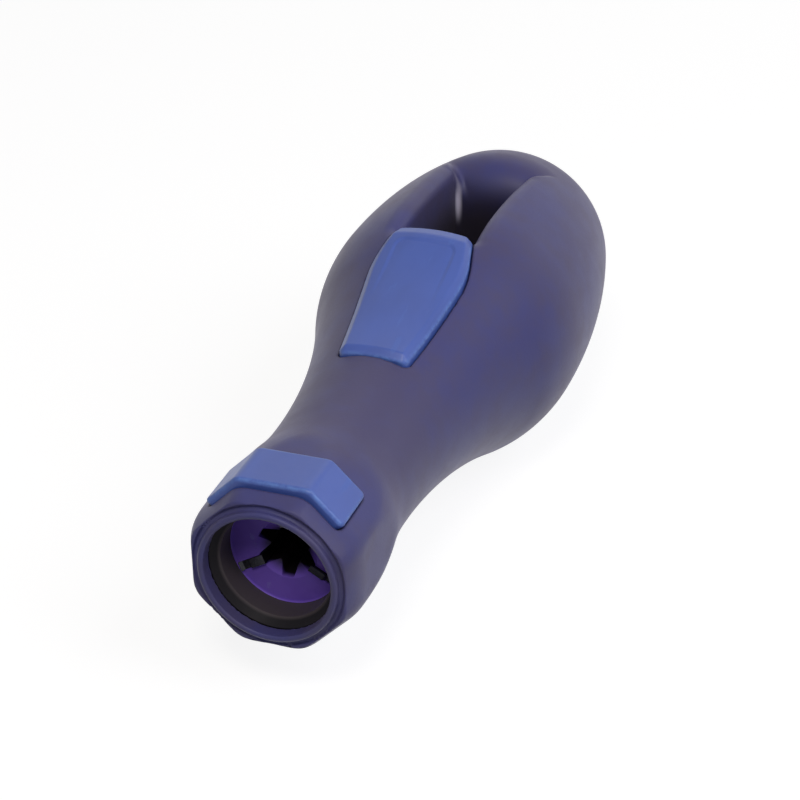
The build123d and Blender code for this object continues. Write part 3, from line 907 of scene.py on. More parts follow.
@dataclass(frozen=True)
class Finish:
    """What every finish shares: a surface shader and how its parts are fed."""

    def shader(self, tree: ShaderTree) -> dict[str | int, object]:
        """The surface shader's sockets; each finish says its own."""
        raise NotImplementedError

    def material(self, name: str) -> bpy.types.Material:
        """Makes the finish's material.

        Args:
            name: the material's name.

        Returns:
            The material.
        """
        made = bpy.data.materials.new(name)
        made.use_nodes = True
        tree = ShaderTree(made.node_tree)
        surface = tree.node("ShaderNodeBsdfPrincipled", inputs=self.shader(tree))
        tree.node("ShaderNodeOutputMaterial", inputs={"Surface": surface.outputs[0]})
        return made


@dataclass(frozen=True)
class Elastomer(Finish):
    """Matt soft-touch elastomer with a fine moulded grain and a faint painted sheen at the edges.

    Scales are features to a metre, and heights are metres. In every finish the weights are in the
    order in which its methods name the noises and marks that they go with.
    """

    cool: Colour = (0.066, 0.068, 0.238)
    warm: Colour = (0.082, 0.073, 0.182)
    # painted shade in the creases round the band and the thumb plate
    crease_shade: Colour = (0.030, 0.024, 0.060)
    # a paler colour mixed in where the surface turns away from view: painted sheen
    painted_sheen: Colour = (0.140, 0.118, 0.150)
    # colour of the painted highlight on the window's rear corners
    corner_highlight: Colour = (0.62, 0.58, 0.72)
    # painted shade down the window's lining
    recess_tone: Colour = (0.026, 0.021, 0.022)
    sheen: Colour = (0.80, 0.70, 0.80)
    sheen_weight: float = 0.05
    specular: float = 0.30
    roughness: float = 0.45
    drift_scale: float = 38.0
    smudge_scale: float = 210.0
    grain_scale: float = 2600.0
    pore_scale: float = 6500.0
    drift_range: Pair = (0.36, 0.64)
    drift_weights: Pair = (0.65, 0.35)
    gloss_weights: Triple = (0.16, 0.10, -0.15)
    relief_weights: Triple = (0.7, 0.3, 0.5)
    painted_sheen_power: float = 2.2
    painted_sheen_share: float = 0.32
    crease_shade_share: float = 0.8
    recess_shade_share: float = 0.9
    corner_highlight_range: Pair = (0.05, 0.60)
    bump_height: float = 0.00006
    bump_strength: float = 0.35

    def colour(self, tree: ShaderTree, smudge: Value, wear_and_highlight: Value) -> Value:
        """Cool and warm drifts of colour, a painted sheen at grazing angles, painted shade in the
        creases and down the window's lining, and a painted highlight on the window's rear corners.

        Args:
            tree: the material's nodes.
            smudge: noise of the size of a fingerprint.
            wear_and_highlight: how strongly the painted highlight shows, where the surface is also
                glossier.

        Returns:
            The colour.
        """
        drift = tree.noise(self.drift_scale, detail=3.0)
        drifting = weighted((drift, smudge), self.drift_weights)
        share = tree.spread(drifting, *self.drift_range)
        body = tree.blend(share, rgba(self.cool), rgba(self.warm))
        facing = tree.value("ShaderNodeLayerWeight", inputs={"Blend": 0.5}, output="Facing")
        # painted sheen: paler towards grazing angles
        painted_sheen = (facing**self.painted_sheen_power * self.painted_sheen_share).clamped()
        body = tree.blend(painted_sheen, body, rgba(self.painted_sheen))
        # painted shade in the creases round the band and the thumb plate
        body = tree.blend(tree.mark(EDGE_MARK) * self.crease_shade_share, body, rgba(self.crease_shade))
        # painted shade down the window's lining, darker towards its bottom
        body = tree.blend(tree.mark(WINDOW_SHADE_MARK) * self.recess_shade_share, body, rgba(self.recess_tone))
        # painted highlight on the window's rear corners
        return tree.blend(wear_and_highlight, body, rgba(self.corner_highlight))

    def shader(self, tree: ShaderTree) -> dict[str | int, object]:
        """The colour, a fine grain with pores, and gloss that varies with both.

        Args:
            tree: the material's nodes.

        Returns:
            A value or link for each of the surface shader's sockets that it sets.
        """
        smudge = tree.noise(self.smudge_scale, detail=4.0)
        grain = tree.noise(self.grain_scale, detail=2.0)
        pores = tree.noise(self.pore_scale, detail=1.0)
        wear_and_highlight = tree.spread(tree.mark(HIGHLIGHT_MARK), *self.corner_highlight_range)
        uneven = (smudge - NOISE_MIDDLE, grain - NOISE_MIDDLE, wear_and_highlight)
        height = weighted((grain, pores, smudge), self.relief_weights)
        return {
            "Base Color": self.colour(tree, smudge, wear_and_highlight),
            "Roughness": self.roughness + weighted(uneven, self.gloss_weights),
            "Normal": tree.bump(height, self.bump_strength, self.bump_height),
            "Specular IOR Level": self.specular,
            "Sheen Weight": self.sheen_weight,
            "Sheen Roughness": self.roughness,
            "Sheen Tint": rgba(self.sheen),
        }


@dataclass(frozen=True)
class MouldedPlastic(Finish):
    """Hard moulded plastic: a satin skin with flow marks, worn edges that also carry a painted
    highlight, and fine scratches.
    """

    colour: Colour
    deep: Colour
    wear_and_highlight: Colour
    roughness: float = 0.36
    specular: float = 0.5
    flow_scale: float = 90.0
    flow_stretch: float = 0.35
    flow_range: Pair = (0.32, 0.68)
    speckle_scale: float = 900.0
    grain_scale: float = 4200.0
    scratch_scale: float = 420.0
    scratch_stretch: float = 0.06
    scratch_range: Pair = (0.62, 0.70)
    speckle_range: Pair = (0.25, 0.75)
    wear_and_highlight_weights: Pair = (0.75, 0.10)
    gloss_weights: Pair = (0.14, 0.10)
    relief_weights: Triple = (0.5, 0.5, -0.6)
    bump_height: float = 0.00003
    bump_strength: float = 0.3

    def shader(self, tree: ShaderTree) -> dict[str | int, object]:
        """Flow marks in the colour, paler edges for wear and a painted highlight, and scratches in
        the gloss.

        Args:
            tree: the material's nodes.

        Returns:
            A value or link for each of the surface shader's sockets that it sets.
        """
        flow = tree.noise(self.flow_scale, detail=4.0, along=self.flow_stretch)
        speckle = tree.noise(self.speckle_scale, detail=3.0)
        grain = tree.noise(self.grain_scale, detail=2.0)
        scratch = tree.noise(self.scratch_scale, detail=5.0, along=self.scratch_stretch)
        scratched = tree.spread(scratch, *self.scratch_range)
        flowing = tree.spread(flow, *self.flow_range)
        body = tree.blend(flowing, rgba(self.deep), rgba(self.colour))
        # paler edges: wear, and a painted highlight along them
        edge_wear_and_highlight = tree.mark(EDGE_MARK) * tree.spread(speckle, *self.speckle_range)
        wear_and_highlight_share = weighted((edge_wear_and_highlight.clamped(), scratched), self.wear_and_highlight_weights)
        height = weighted((grain, speckle, scratched), self.relief_weights)
        gloss = weighted((speckle - NOISE_MIDDLE, scratched), self.gloss_weights)
        return {
            "Base Color": tree.blend(wear_and_highlight_share, body, rgba(self.wear_and_highlight)),
            "Roughness": self.roughness + gloss,
            "Normal": tree.bump(height, self.bump_strength, self.bump_height),
            "Specular IOR Level": self.specular,
        }


@dataclass(frozen=True)
class HoleAndRimPlastic(MouldedPlastic):
    """Moulded plastic with a colour of its own inside a hole, and a paler rim.

    The hole's colour grows to full strength between the two distances from the axis in reach, and
    the two depths in depth; the rim grows between its own two distances. All are metres.
    """

    recess_tone: Colour = (0.016, 0.013, 0.016)
    reach: Pair = (0.0062, 0.0056)
    depth: Pair = (0.0007, 0.0022)
    rim: Pair = (0.0111, 0.0117)
    rim_share: float = 0.9

    def shader(self, tree: ShaderTree) -> dict[str | int, object]:
        """The plastic's own sockets, with the colour inside the hole and the paler rim over its
        colour.

        Args:
            tree: the material's nodes.

        Returns:
            A value or link for each of the surface shader's sockets that it sets.
        """
        sockets = super().shader(tree)
        along = tree.value("ShaderNodeSeparateXYZ", inputs={0: tree.place()}, output="Y")
        away = tree.axis_distance()
        # paler rim; in the cutter hub it is a painted highlight
        rim = tree.spread(away, *self.rim) * self.rim_share
        body = tree.blend(rim, sockets["Base Color"], rgba(self.wear_and_highlight))
        # colour inside the hole, growing with depth; in the cutter hub it is darker, painted shade
        recess_tone = tree.spread(along, *self.depth) * tree.spread(away, *self.reach)
        sockets["Base Color"] = tree.blend(recess_tone, body, rgba(self.recess_tone))
        return sockets


@dataclass(frozen=True)
class GroundSteel(Finish):
    """Steel with grinding lines along the axis and glossier patches."""

    colour: Colour
    deep: Colour
    roughness: float
    line_scale: float = 2200.0
    line_stretch: float = 0.05
    patch_scale: float = 260.0
    colour_range: Pair = (0.3, 0.7)
    colour_weights: Pair = (0.6, 0.4)
    gloss_weights: Pair = (0.12, 0.20)
    bump_height: float = 0.00002
    bump_strength: float = 0.4

    def shader(self, tree: ShaderTree) -> dict[str | int, object]:
        """Grinding lines in the colour, gloss and relief.

        Args:
            tree: the material's nodes.

        Returns:
            A value or link for each of the surface shader's sockets that it sets.
        """
        lines = tree.noise(self.line_scale, detail=4.0, along=self.line_stretch)
        patches = tree.noise(self.patch_scale, detail=3.0)
        share = weighted((lines, patches), self.colour_weights)
        share = tree.spread(share, *self.colour_range)
        gloss = weighted((lines - NOISE_MIDDLE, patches - NOISE_MIDDLE), self.gloss_weights)
        return {
            "Base Color": tree.blend(share, rgba(self.deep), rgba(self.colour)),
            "Roughness": self.roughness + gloss,
            "Metallic": 1.0,
            "Normal": tree.bump(lines, self.bump_strength, self.bump_height),
        }


@dataclass(frozen=True)
class TurnedMetal(Finish):
    """Turned metal: rings about the tool's axis, with duller spots between them."""

    colour: Colour = (0.60, 0.60, 0.62)
    deep: Colour = (0.36, 0.36, 0.38)
    roughness: float = 0.34
    ring_scale: float = 5200.0
    spot_scale: float = 700.0
    colour_range: Pair = (0.3, 0.7)
    colour_weights: Pair = (0.5, 0.5)
    gloss_weight: float = 0.24
    bump_height: float = 0.00002
    bump_strength: float = 0.4

    def shader(self, tree: ShaderTree) -> dict[str | int, object]:
        """Turning rings from the distance to the axis, and spots of dull metal.

        Args:
            tree: the material's nodes.

        Returns:
            A value or link for each of the surface shader's sockets that it sets.
        """
        inputs = {"W": tree.axis_distance() * self.ring_scale, "Scale": 1.0, "Detail": 3.0}
        rings = tree.value("ShaderNodeTexNoise", {"noise_dimensions": "1D"}, inputs, "Fac")
        spots = tree.noise(self.spot_scale, detail=3.0)
        share = weighted((rings, spots), self.colour_weights)
        share = tree.spread(share, *self.colour_range)
        return {
            "Base Color": tree.blend(share, rgba(self.deep), rgba(self.colour)),
            "Roughness": self.roughness + (spots - NOISE_MIDDLE) * self.gloss_weight,
            "Metallic": 1.0,
            "Normal": tree.bump(rings, self.bump_strength, self.bump_height),
        }


@dataclass(frozen=True)
class Palette:
    """The finish of each material slot."""

    finishes: dict[Slot, Finish] = field(
        default_factory=lambda: {
            Slot.GRIP: Elastomer(),
            Slot.BLUE: MouldedPlastic(
                (0.086, 0.160, 0.590), (0.076, 0.138, 0.510), (0.170, 0.340, 0.820)
            ),
            Slot.DARK: MouldedPlastic(
                (0.032, 0.029, 0.032), (0.022, 0.020, 0.022), (0.060, 0.060, 0.070), 0.55, 0.3
            ),
            Slot.BLADE: GroundSteel((0.050, 0.050, 0.058), (0.024, 0.024, 0.030), 0.42),
            Slot.STAINLESS: TurnedMetal(),
            Slot.SCREW: TurnedMetal((0.50, 0.50, 0.52), (0.30, 0.30, 0.32), 0.38),
            Slot.SPRING: GroundSteel((0.060, 0.058, 0.066), (0.030, 0.030, 0.036), 0.40),
            Slot.BRASS: TurnedMetal((0.72, 0.55, 0.27), (0.50, 0.36, 0.15), 0.36),
        }
    )
    made: dict[Slot, bpy.types.Material] = field(default_factory=dict)

    def dress(self, piece: bpy.types.Object, slot: Slot, own: Finish | None = None) -> None:
        """Gives a piece the material of a slot.

        Args:
            piece: a new piece or a CAD node's object.
            slot: the record's material slot.
            own: a finish of the piece's own, if it does not share the slot's.
        """
        if own is not None:
            material = own.material(f"{slot.value}_{piece.name}")
        else:
            if slot not in self.made:
                self.made[slot] = self.finishes[slot].material(slot.value)
            material = self.made[slot]
        if not piece.material_slots:
            piece.data.materials.append(None)
        for place in piece.material_slots:
            place.material = material

    def dress_node(self, node: str, slot: Slot, own: Finish | None = None) -> None:
        """Gives a CAD node the material of a slot, or a finish of its own."""
        self.dress(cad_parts[node], slot, own)
        log.info("%s: CAD mesh, slot %s", node, slot.value)


# ---- sub-assemblies -----------------------------------------------------------------------
@dataclass(frozen=True)
class GripSkin:
    """The one-piece soft skin: bead, head, neck, bulb and the lining of the chip window."""

    form: ToolForm
    band: BandShape
    plate: PlateShape
    wall: float = 1.8
    bead_ring: Pair = (0.65, 12.2)
    bead_radius: float = 0.65
    bead_blend: float = 0.2
    groove_ring: Pair = (0.95, 13.4)
    groove_radius: float = 0.5
    groove_blend: float = 0.35
    lip_radius: float = 11.6
    lip_back: float = 1.5
    window_half: float = 7.3
    window_start: float = 87.5
    window_end: float = 121.5
    window_bottom: float = 4.0
    window_corner: float = 1.5
    side_lip: float = 3.8
    rear_lip: float = 10.0
    lip_change: Pair = (-2.0, 3.0)
    front_edge: float = 0.3
    opening_gap: float = 0.18
    opening_edge: float = 0.35
    opening_bottom: float = 2.0
    passage_inset: Pair = (0.2, 0.4)
    passage_corner: float = 2.0
    crease_reach: float = 0.55
    corner_highlight_reach: float = 1.5
    corner_highlight_heights: Triple = (7.5, 14.5, 20.0)
    corner_highlight_fading: float = 0.75
    window_shade_reach: Pair = (0.5, 4.0)
    window_shade_heights: Pair = (9.0, 26.0)
    grid: Grid = Grid(
        across=((0, 0.7), (4.5, 0.6), (5.6, 0.3), (9.6, 0.3), (11.5, 0.6), (27.8, 0.75)),
        stations=(
            (-0.8, 0.18), (1.9, 0.18), (2.8, 0.4), (4.2, 0.3), (4.7, 0.2), (5.5, 0.25),
            (6.8, 0.7), (14.2, 0.6), (15.2, 0.2), (16.3, 0.25), (17.5, 0.8), (24, 1.1),
            (50.2, 1.2), (51.6, 0.3), (53.4, 0.3), (55.8, 1.2), (84.0, 1.0), (86.6, 0.35),
            (88.6, 0.35), (91.0, 0.9), (112.0, 0.8), (117.0, 0.55), (132.0, 0.6),
            (140.0, 1.0), (151.0, 1.0),
        ),
        heights=((-28.0, 0.8), (-17.0, 0.75), (7.0, 0.65), (11.0, 0.45), (27.4, 0.5)),
    )

    def window(self, points: Points) -> np.ndarray:
        """Distance from the chip window's column, which runs up from its bottom.

        Args:
            points: where to measure.

        Returns:
            The distances.
        """
        ends = (self.window_start, self.window_end)
        plan = oblong(points, self.window_half, ends, self.window_corner)
        return np.maximum(plan, self.window_bottom - points[:, 2])

    def shell(self, points: Points) -> np.ndarray:
        """Distance from the outer surface, with the window's lips and walls.

        Args:
            points: where to measure.

        Returns:
            The distances.
        """
        station, radius = about_axis(points)
        bead = np.hypot(station - self.bead_ring[0], radius - self.bead_ring[1])
        groove = np.hypot(station - self.groove_ring[0], radius - self.groove_ring[1])
        body = round_max(self.form.distance(points), self.form.front[0] - station, self.front_edge)
        body = round_max(body, self.groove_radius - groove, self.groove_blend)
        body = round_min(body, bead - self.bead_radius, self.bead_blend)
        past_rear = station - self.window_end
        past_side = np.abs(points[:, 0]) - self.window_half
        growth = ramp(past_rear - past_side, *self.lip_change)
        lip = self.side_lip + (self.rear_lip - self.side_lip) * growth
        return round_max(body, -self.window(points), lip)

    def openings(self, points: Points) -> np.ndarray:
        """Distance from the openings that the band and the thumb plate fill.

        Args:
            points: where to measure.

        Returns:
            The distances.
        """
        below = self.opening_bottom - points[:, 2]
        band = np.maximum(self.band.plan(points), below)
        plate = np.maximum(self.plate.plan(points), below)
        return np.minimum(band, plate) - self.opening_gap

    def passage(self, points: Points) -> np.ndarray:
        """Distance from the opening at the bottom of the window's lining.

        Args:
            points: where to measure.

        Returns:
            The distances.
        """
        side_inset, end_inset = self.passage_inset
        ends = (self.plate.rear + end_inset, self.window_end - end_inset)
        plan = oblong(points, self.window_half - side_inset, ends, self.passage_corner)
        floor = np.abs(points[:, 2] - (self.window_bottom - self.wall)) - 2 * self.wall
        return np.maximum(plan, floor)

    def distance(self, points: Points) -> np.ndarray:
        """Distance from the skin, a wall of even thickness inside its outer surface.

        Args:
            points: where to measure.

        Returns:
            The distances.
        """
        shell = self.shell(points)
        hollow = np.maximum(shell + self.wall, self.lip_back - points[:, 1])
        bore = np.hypot(points[:, 0], points[:, 2]) - self.lip_radius
        bore = np.maximum(bore, points[:, 1] - 2 * self.lip_back)
        solid = round_max(shell, -self.openings(points), self.opening_edge)
        return np.maximum(np.maximum(solid, -hollow), np.maximum(-bore, -self.passage(points)))

    def edge_mark(self, points: Points) -> np.ndarray:
        """Marks the creases round the band and the thumb plate, where shade is painted in a darker
        colour.
        """
        return 1 - np.abs(self.openings(points)) / self.crease_reach

    def corner_highlight_mark(self, points: Points) -> np.ndarray:
        """Marks the window's rear corners, where a highlight is painted and the gloss is raised.

        Args:
            points: where to mark.

        Returns:
            The mark's strength at each point, up to 1.
        """
        side = np.abs(points[:, 0]) - self.window_half
        corner = np.hypot(side, points[:, 1] - self.window_end)
        low, middle, high = self.corner_highlight_heights
        fading = 1 - self.corner_highlight_fading * ramp(points[:, 2], middle, high)
        return (1 - corner / self.corner_highlight_reach) * ramp(points[:, 2], low, middle) * fading

    def window_shade_mark(self, points: Points) -> np.ndarray:
        """Marks the window's lining, where shade is painted, more strongly towards its bottom."""
        inside = 1 - ramp(self.window(points), *self.window_shade_reach)
        return inside * (1 - ramp(points[:, 2], *self.window_shade_heights))

    def build(self, palette: Palette) -> None:
        """Meshes the skin and puts it in the soft grip's place.

        Args:
            palette: the finishes to dress it with.
        """
        marks = {
            EDGE_MARK: self.edge_mark,
            HIGHLIGHT_MARK: self.corner_highlight_mark,
            WINDOW_SHADE_MARK: self.window_shade_mark,
        }
        skin = new_piece("grip_skin", SurfaceNet(self.distance, self.grid.axes()), marks)
        palette.dress(skin, Slot.GRIP)
        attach(skin, BODY)
        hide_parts("soft_grip")


@dataclass(frozen=True)
class SocketBody:
    """The hard blue socket inside the head, with its band showing through the skin."""

    form: ToolForm
    band: BandShape
    inset: float = 1.85
    front: float = 1.5
    head_end: float = 26.0
    bore: float = 12.3
    shoulder: float = 24.1
    spigot: float = 9.9
    spigot_end: float = 44.0
    passage: float = 7.5
    key_height: float = 1.0
    key_half_width: float = 1.5
    key_start: float = 8.9
    groove: float = 0.45
    groove_station: float = 2.5
    pin_radius: float = 1.0
    pin_station: float = 35.0
    edge: float = 0.3
    spigot_overlap: float = 2.0
    band_foot: float = 0.4
    grid: Grid = Grid(
        across=((0, 0.6), (7.0, 0.5), (8.5, 0.3), (12.8, 0.3), (15.5, 0.7)),
        stations=(
            (1.0, 0.3), (3.3, 0.3), (4.5, 0.2), (6.2, 0.2), (8.0, 0.6), (13.0, 0.6),
            (14.5, 0.2), (16.2, 0.2), (18.0, 0.7), (25.0, 0.5), (27.0, 0.5), (33.5, 0.6),
            (36.5, 0.6), (45.0, 0.8),
        ),
        heights=((-15.6, 0.8), (3.0, 0.7), (8.0, 0.35), (12.5, 0.3), (17.6, 0.3)),
    )

    def hollow(self, points: Points) -> np.ndarray:
        """Distance from the bore, its groove, its key slots and the passage behind it.

        Args:
            points: where to measure.

        Returns:
            The distances.
        """
        station, radius = about_axis(points)
        bore = np.maximum(radius - self.bore, station - self.shoulder)
        seat_radius = self.bore - self.key_height
        from_slot = np.abs(points[:, 0]) - self.key_half_width
        beside = np.minimum(from_slot, station - self.key_start)
        seat = np.maximum(bore, np.minimum(radius - seat_radius, beside))
        bore = np.where(radius < seat_radius, bore, seat)
        groove = np.hypot(station - self.groove_station, radius - self.bore) - self.groove
        return np.minimum(np.minimum(bore, groove), radius - self.passage)

    def distance(self, points: Points) -> np.ndarray:
        """Distance from the whole socket body.

        Args:
            points: where to measure.

        Returns:
            The distances.
        """
        station, radius = about_axis(points)
        ends = np.maximum(self.front - station, station - self.head_end)
        head = round_max(self.form.distance(points) + self.inset, ends, self.edge)
        band = self.band.distance(points, self.form)
        spigot = round_max(radius - self.spigot, station - self.spigot_end, self.edge)
        spigot = np.maximum(spigot, self.head_end - self.spigot_overlap - station)
        solid = np.minimum(np.minimum(head, band), spigot)
        pins = np.hypot(station - self.pin_station, points[:, 2]) - self.pin_radius
        return np.maximum(np.maximum(solid, -self.hollow(points)), -pins)

    def edge_mark(self, points: Points) -> np.ndarray:
        """Marks the band's rim, worn by hands, where a highlight is also painted."""
        outside = self.form.distance(points) > -self.band_foot
        return np.where(outside, self.band.edge_mark(points, self.form), 0.0)

    def build(self, palette: Palette) -> None:
        """Meshes the socket body and puts it in the CAD solid's place.

        Args:
            palette: the finishes to dress it with.
        """
        net = SurfaceNet(self.distance, self.grid.axes())
        body = new_piece("socket_shell", net, {EDGE_MARK: self.edge_mark})
        palette.dress(body, Slot.BLUE)
        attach(body, BODY)
        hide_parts("socket_body")


@dataclass(frozen=True)
class ThumbPlate:
    """The blue thumb plate, with its hidden flange and two posts."""

    form: ToolForm
    plate: PlateShape
    skin: float = 1.85
    flange_margin: float = 1.8
    flange_thickness: float = 1.15
    post_radius: float = 2.0
    post_stations: Pair = (60.0, 74.0)
    post_bottom: float = 9.42
    post_edge: float = 0.4
    lowest: float = 4.0
    nothing_below: float = 5.0
    bevel_foot: float = 0.3
    edge_reach: float = 0.9
    grid: Grid = Grid(
        across=((0, 0.5), (5.0, 0.3), (9.0, 0.22), (11.8, 0.35)),
        stations=(
            (49.6, 0.5), (51.9, 0.22), (53.8, 0.3), (56.3, 0.6), (74.0, 0.5), (80.0, 0.35),
            (84.0, 0.25), (88.6, 0.25),
        ),
        heights=((9.0, 0.6), (12.5, 0.5), (15.5, 0.3), (26.2, 0.3)),
    )

    def distance(self, points: Points) -> np.ndarray:
        """Distance from the plate, its flange and its posts.

        Args:
            points: where to measure.

        Returns:
            The distances.
        """
        plan, outer = self.plate.plan(points), self.form.distance(points)
        top = self.plate.top(points, self.form)
        bottom = -(outer + self.skin + self.flange_thickness)
        plate = bevel_max(top, plan, self.plate.bevel, self.plate.bevel_softness)
        plate = np.maximum(plate, bottom)
        rear = points[:, 1] - self.plate.rear
        flange = np.maximum(np.maximum(plan - self.flange_margin, rear), outer + self.skin)
        solid = np.minimum(plate, np.maximum(flange, bottom))
        for station in self.post_stations:
            post = np.hypot(points[:, 0], points[:, 1] - station) - self.post_radius
            post = round_max(post, self.post_bottom - points[:, 2], self.post_edge)
            solid = np.minimum(solid, np.maximum(post, outer + self.skin))
        return np.where(points[:, 2] > self.lowest, solid, self.nothing_below)

    def edge_mark(self, points: Points) -> np.ndarray:
        """Marks the bevel round the plate, worn by thumbs, where a highlight is also painted.

        Args:
            points: where to mark.

        Returns:
            The mark's strength at each point, up to 1.
        """
        gap = self.plate.top(points, self.form) - self.plate.plan(points)
        near = 1 - np.abs(gap + self.plate.bevel) / self.edge_reach
        return np.where(self.form.distance(points) > -self.bevel_foot, near, 0.0)

    def build(self, palette: Palette) -> None:
        """Meshes the plate and puts it in the CAD solid's place.

        Args:
            palette: the finishes to dress it with.
        """
        net = SurfaceNet(self.distance, self.grid.axes())
        plate = new_piece("thumb_pad", net, {EDGE_MARK: self.edge_mark})
        palette.dress(plate, Slot.BLUE)
        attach(plate, BODY)
        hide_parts("thumb_plate")
        palette.dress_node("push_nuts", Slot.SPRING)


@dataclass(frozen=True)
class CutterHead:
    """The cutter hub in the mouth, with its blades and what clamps them."""

    # the star hole darkens with depth as painted shade, and the pale rim is a painted highlight
    hub: HoleAndRimPlastic = HoleAndRimPlastic(
        (0.285, 0.160, 0.860), (0.225, 0.120, 0.730), (0.520, 0.640, 1.000), 0.36, 0.14
    )
    metal: dict[str, Slot] = field(
        default_factory=lambda: {
            "blade_1": Slot.BLADE,
            "blade_2": Slot.BLADE,
            "blade_3": Slot.BLADE,
            "clamp_ring": Slot.STAINLESS,
            "clamp_screws": Slot.SCREW,
            "hub_inserts": Slot.BRASS,
            "disc_spring": Slot.SPRING,
        }
    )

    def dress(self, palette: Palette) -> None:
        """Gives each CAD node its finish.

        Args:
            palette: the finishes to dress it with.
        """
        palette.dress_node("cutter_hub", Slot.BLUE, self.hub)
        for node, slot in self.metal.items():
            palette.dress_node(node, slot)


@dataclass(frozen=True)
class MouthGuide:
    """The dark guide ring that centres the pipe, and the wire ring that keeps it in."""

    # paler on the bore wall past the mouth's front, and paler at the outer rim
    ring: HoleAndRimPlastic = HoleAndRimPlastic(
        (0.014, 0.012, 0.016),
        (0.010, 0.009, 0.012),
        (0.040, 0.036, 0.048),
        0.5,
        0.12,
        recess_tone=(0.085, 0.072, 0.080),
        reach=(0.0108, 0.0103),
        depth=(-0.0088, -0.0080),
        rim=(0.0125, 0.0127),
    )

    def dress(self, palette: Palette) -> None:
        """Gives both CAD nodes their finishes."""
        palette.dress_node("guide_ring", Slot.LINER, self.ring)
        palette.dress_node("snap_ring", Slot.SPRING)


@dataclass(frozen=True)
class HandleCore:
    """The hard core under the skin, its screws and pins, and the chip chute."""

    hard: tuple[str, ...] = ("core_left", "core_right", "chip_chute")
    fasteners: tuple[str, ...] = ("neck_screws", "bulb_screws", "torque_pins")

    def dress(self, palette: Palette) -> None:
        """Gives each CAD node its finish.

        Args:
            palette: the finishes to dress it with.
        """
        for node in self.hard:
            palette.dress_node(node, Slot.DARK)
        for node in self.fasteners:
            palette.dress_node(node, Slot.SCREW)


# ---- studio -------------------------------------------------------------------------------
@dataclass(frozen=True)
class Softbox:
    """One large soft lamp, aimed at the tool."""

    name: str
    azimuth: float
    elevation: float
    distance: float
    size: float
    watts: float
    colour: Colour = (1.0, 1.0, 1.0)

    def build(self, target: Vector) -> None:
        """Makes the lamp and turns it to the target.

        Args:
            target: the place that the lamp faces.
        """
        lamp = bpy.data.lights.new(self.name, "AREA")
        lamp.shape = "SQUARE"
        lamp.size = self.size
        lamp.energy = self.watts
        lamp.color = self.colour
        made = bpy.data.objects.new(self.name, lamp)
        out = direction(self.azimuth, self.elevation)
        made.location = target + out * self.distance
        made.rotation_euler = out.to_track_quat("Z", "Y").to_euler()
        bpy.context.scene.collection.objects.link(made)


def direction(azimuth: float, elevation: float) -> Vector:
    """Unit vector towards a place round the tool; azimuth 0 is in front of its mouth.

    Args:
        azimuth: degrees round the upright axis.
        elevation: degrees above the level.

    Returns:
        The unit vector.
    """
    turn, rise = math.radians(azimuth), math.radians(elevation)
    level = math.cos(rise)
    return Vector((math.sin(turn) * level, -math.cos(turn) * level, math.sin(rise)))


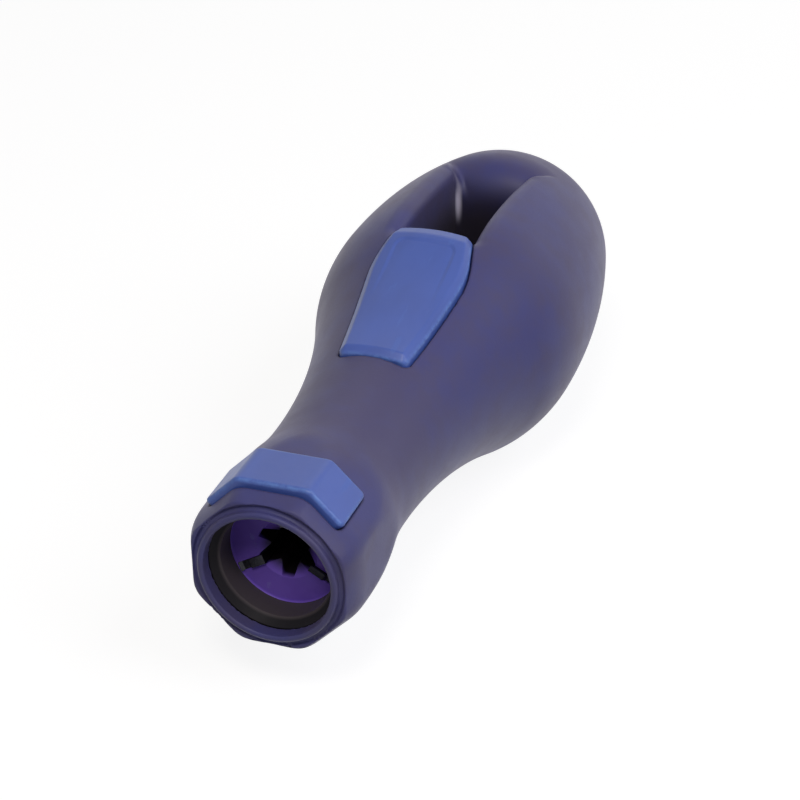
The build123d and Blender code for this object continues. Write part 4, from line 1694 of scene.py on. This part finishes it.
@dataclass(frozen=True)
class Studio:
    """Plain pale floor, soft light and the camera."""

    camera_azimuth: float = 20.227
    camera_elevation: float = 29.315
    camera_roll: float = -1.0985
    camera_distance: float = 0.4723
    lens: float = 109.767
    shift: Pair = (-0.0193, -0.0346)
    sensor: float = 36.0
    nearest: float = 0.01
    floor_half: float = 2.5
    floor_cuts: int = 8
    floor_paint: Colour = (0.30, 0.30, 0.30)
    surround: float = 0.05
    floor_glow: float = 0.87
    boxes: tuple[Softbox, ...] = (
        Softbox("key_light", 80.0, 42.0, 0.9, 0.6, 3.15, (0.91, 0.92, 1.0)),
        Softbox("mouth_light", 12.0, 54.0, 0.9, 0.25, 2.30, (0.97, 0.92, 0.86)),
        Softbox("rear_light", 185.0, 42.0, 0.9, 0.5, 0.40, (1.0, 0.94, 0.88)),
        Softbox("edge_light", 145.0, 22.0, 0.9, 0.4, 0.24, (0.97, 0.97, 1.0)),
    )

    def white_to_camera(self, tree: ShaderTree) -> Value:
        """1 for rays from the camera, a reflection or a refraction, and 0 for light.

        Args:
            tree: the nodes of the floor's or the world's shader.

        Returns:
            The value.
        """
        path = tree.node("ShaderNodeLightPath")
        seen = Value(tree, path.outputs["Is Camera Ray"])
        seen = seen + Value(tree, path.outputs["Is Glossy Ray"])
        return (seen + Value(tree, path.outputs["Is Transmission Ray"])).clamped()

    def build_floor(self, low: Vector) -> None:
        """Makes the floor just under the tool.

        Args:
            low: the lowest corner of the tool's box.
        """
        size = 2 * self.floor_half / self.floor_cuts
        count = self.floor_cuts + 1
        grid = [
            (i * size - self.floor_half, j * size - self.floor_half, 0.0)
            for j in range(count)
            for i in range(count)
        ]
        quads = [
            (j * count + i, j * count + i + 1, (j + 1) * count + i + 1, (j + 1) * count + i)
            for j in range(self.floor_cuts)
            for i in range(self.floor_cuts)
        ]
        mesh = bpy.data.meshes.new("studio_floor")
        mesh.from_pydata(grid, [], quads)
        floor = bpy.data.objects.new("studio_floor", mesh)
        floor.location = (0.0, 0.0, low.z)
        bpy.context.scene.collection.objects.link(floor)
        material = bpy.data.materials.new("studio_floor")
        material.use_nodes = True
        tree = ShaderTree(material.node_tree)
        paper = tree.node("ShaderNodeBsdfDiffuse", inputs={"Color": rgba(self.floor_paint)})
        strength = self.white_to_camera(tree) * self.floor_glow
        glow = tree.node("ShaderNodeEmission", inputs={"Strength": strength})
        both = tree.node("ShaderNodeAddShader", inputs={0: paper.outputs[0], 1: glow.outputs[0]})
        tree.node("ShaderNodeOutputMaterial", inputs={"Surface": both.outputs[0]})
        mesh.materials.append(material)

    def build_world(self) -> None:
        """Lights the tool from all round, and shows white behind it."""
        world = bpy.data.worlds.new("studio")
        world.use_nodes = True
        bpy.context.scene.world = world
        tree = ShaderTree(world.node_tree)
        seen = self.white_to_camera(tree)
        strength = seen * (1.0 - self.surround) + self.surround
        inputs = {"Color": rgba((1.0, 1.0, 1.0)), "Strength": strength}
        sky = tree.node("ShaderNodeBackground", inputs=inputs)
        tree.node("ShaderNodeOutputWorld", inputs={"Surface": sky.outputs[0]})

    def build_camera(self, target: Vector) -> None:
        """Makes the camera, leaning by its roll about its own view line.

        Args:
            target: the place that the camera faces.
        """
        back = direction(self.camera_azimuth, self.camera_elevation)
        right = Vector((0, 0, 1)).cross(back).normalized()
        up = back.cross(right)
        lean = math.radians(self.camera_roll)
        right_leaning = math.cos(lean) * right + math.sin(lean) * up
        up_leaning = math.cos(lean) * up - math.sin(lean) * right
        camera = bpy.data.cameras.new("camera")
        camera.lens = self.lens
        camera.sensor_width = self.sensor
        camera.shift_x, camera.shift_y = self.shift
        camera.clip_start = self.nearest
        made = bpy.data.objects.new("camera", camera)
        turn = Matrix((right_leaning, up_leaning, back)).transposed().to_4x4()
        made.matrix_world = Matrix.Translation(target + back * self.camera_distance) @ turn
        bpy.context.scene.collection.objects.link(made)
        bpy.context.scene.camera = made

    def build(self) -> None:
        """Makes the floor, the lamps, the surroundings and the camera."""
        target = Vector((0.0, (cad_low.y + cad_high.y) / 2, 0.0))
        self.build_floor(cad_low)
        self.build_world()
        for box in self.boxes:
            box.build(target)
        self.build_camera(target)
        bpy.context.scene.view_settings.view_transform = "Standard"
        log.info("studio: %d lamps", len(self.boxes))


def main() -> None:
    """Builds the tool's pieces and the studio round them."""
    logging.basicConfig(level=logging.INFO, format="%(name)s: %(message)s")
    form, band, plate = ToolForm(), BandShape(), PlateShape()
    palette = Palette()
    GripSkin(form, band, plate).build(palette)
    SocketBody(form, band).build(palette)
    ThumbPlate(form, plate).build(palette)
    CutterHead().dress(palette)
    MouthGuide().dress(palette)
    HandleCore().dress(palette)
    Studio().build()


if __name__ == "__main__":
    main()
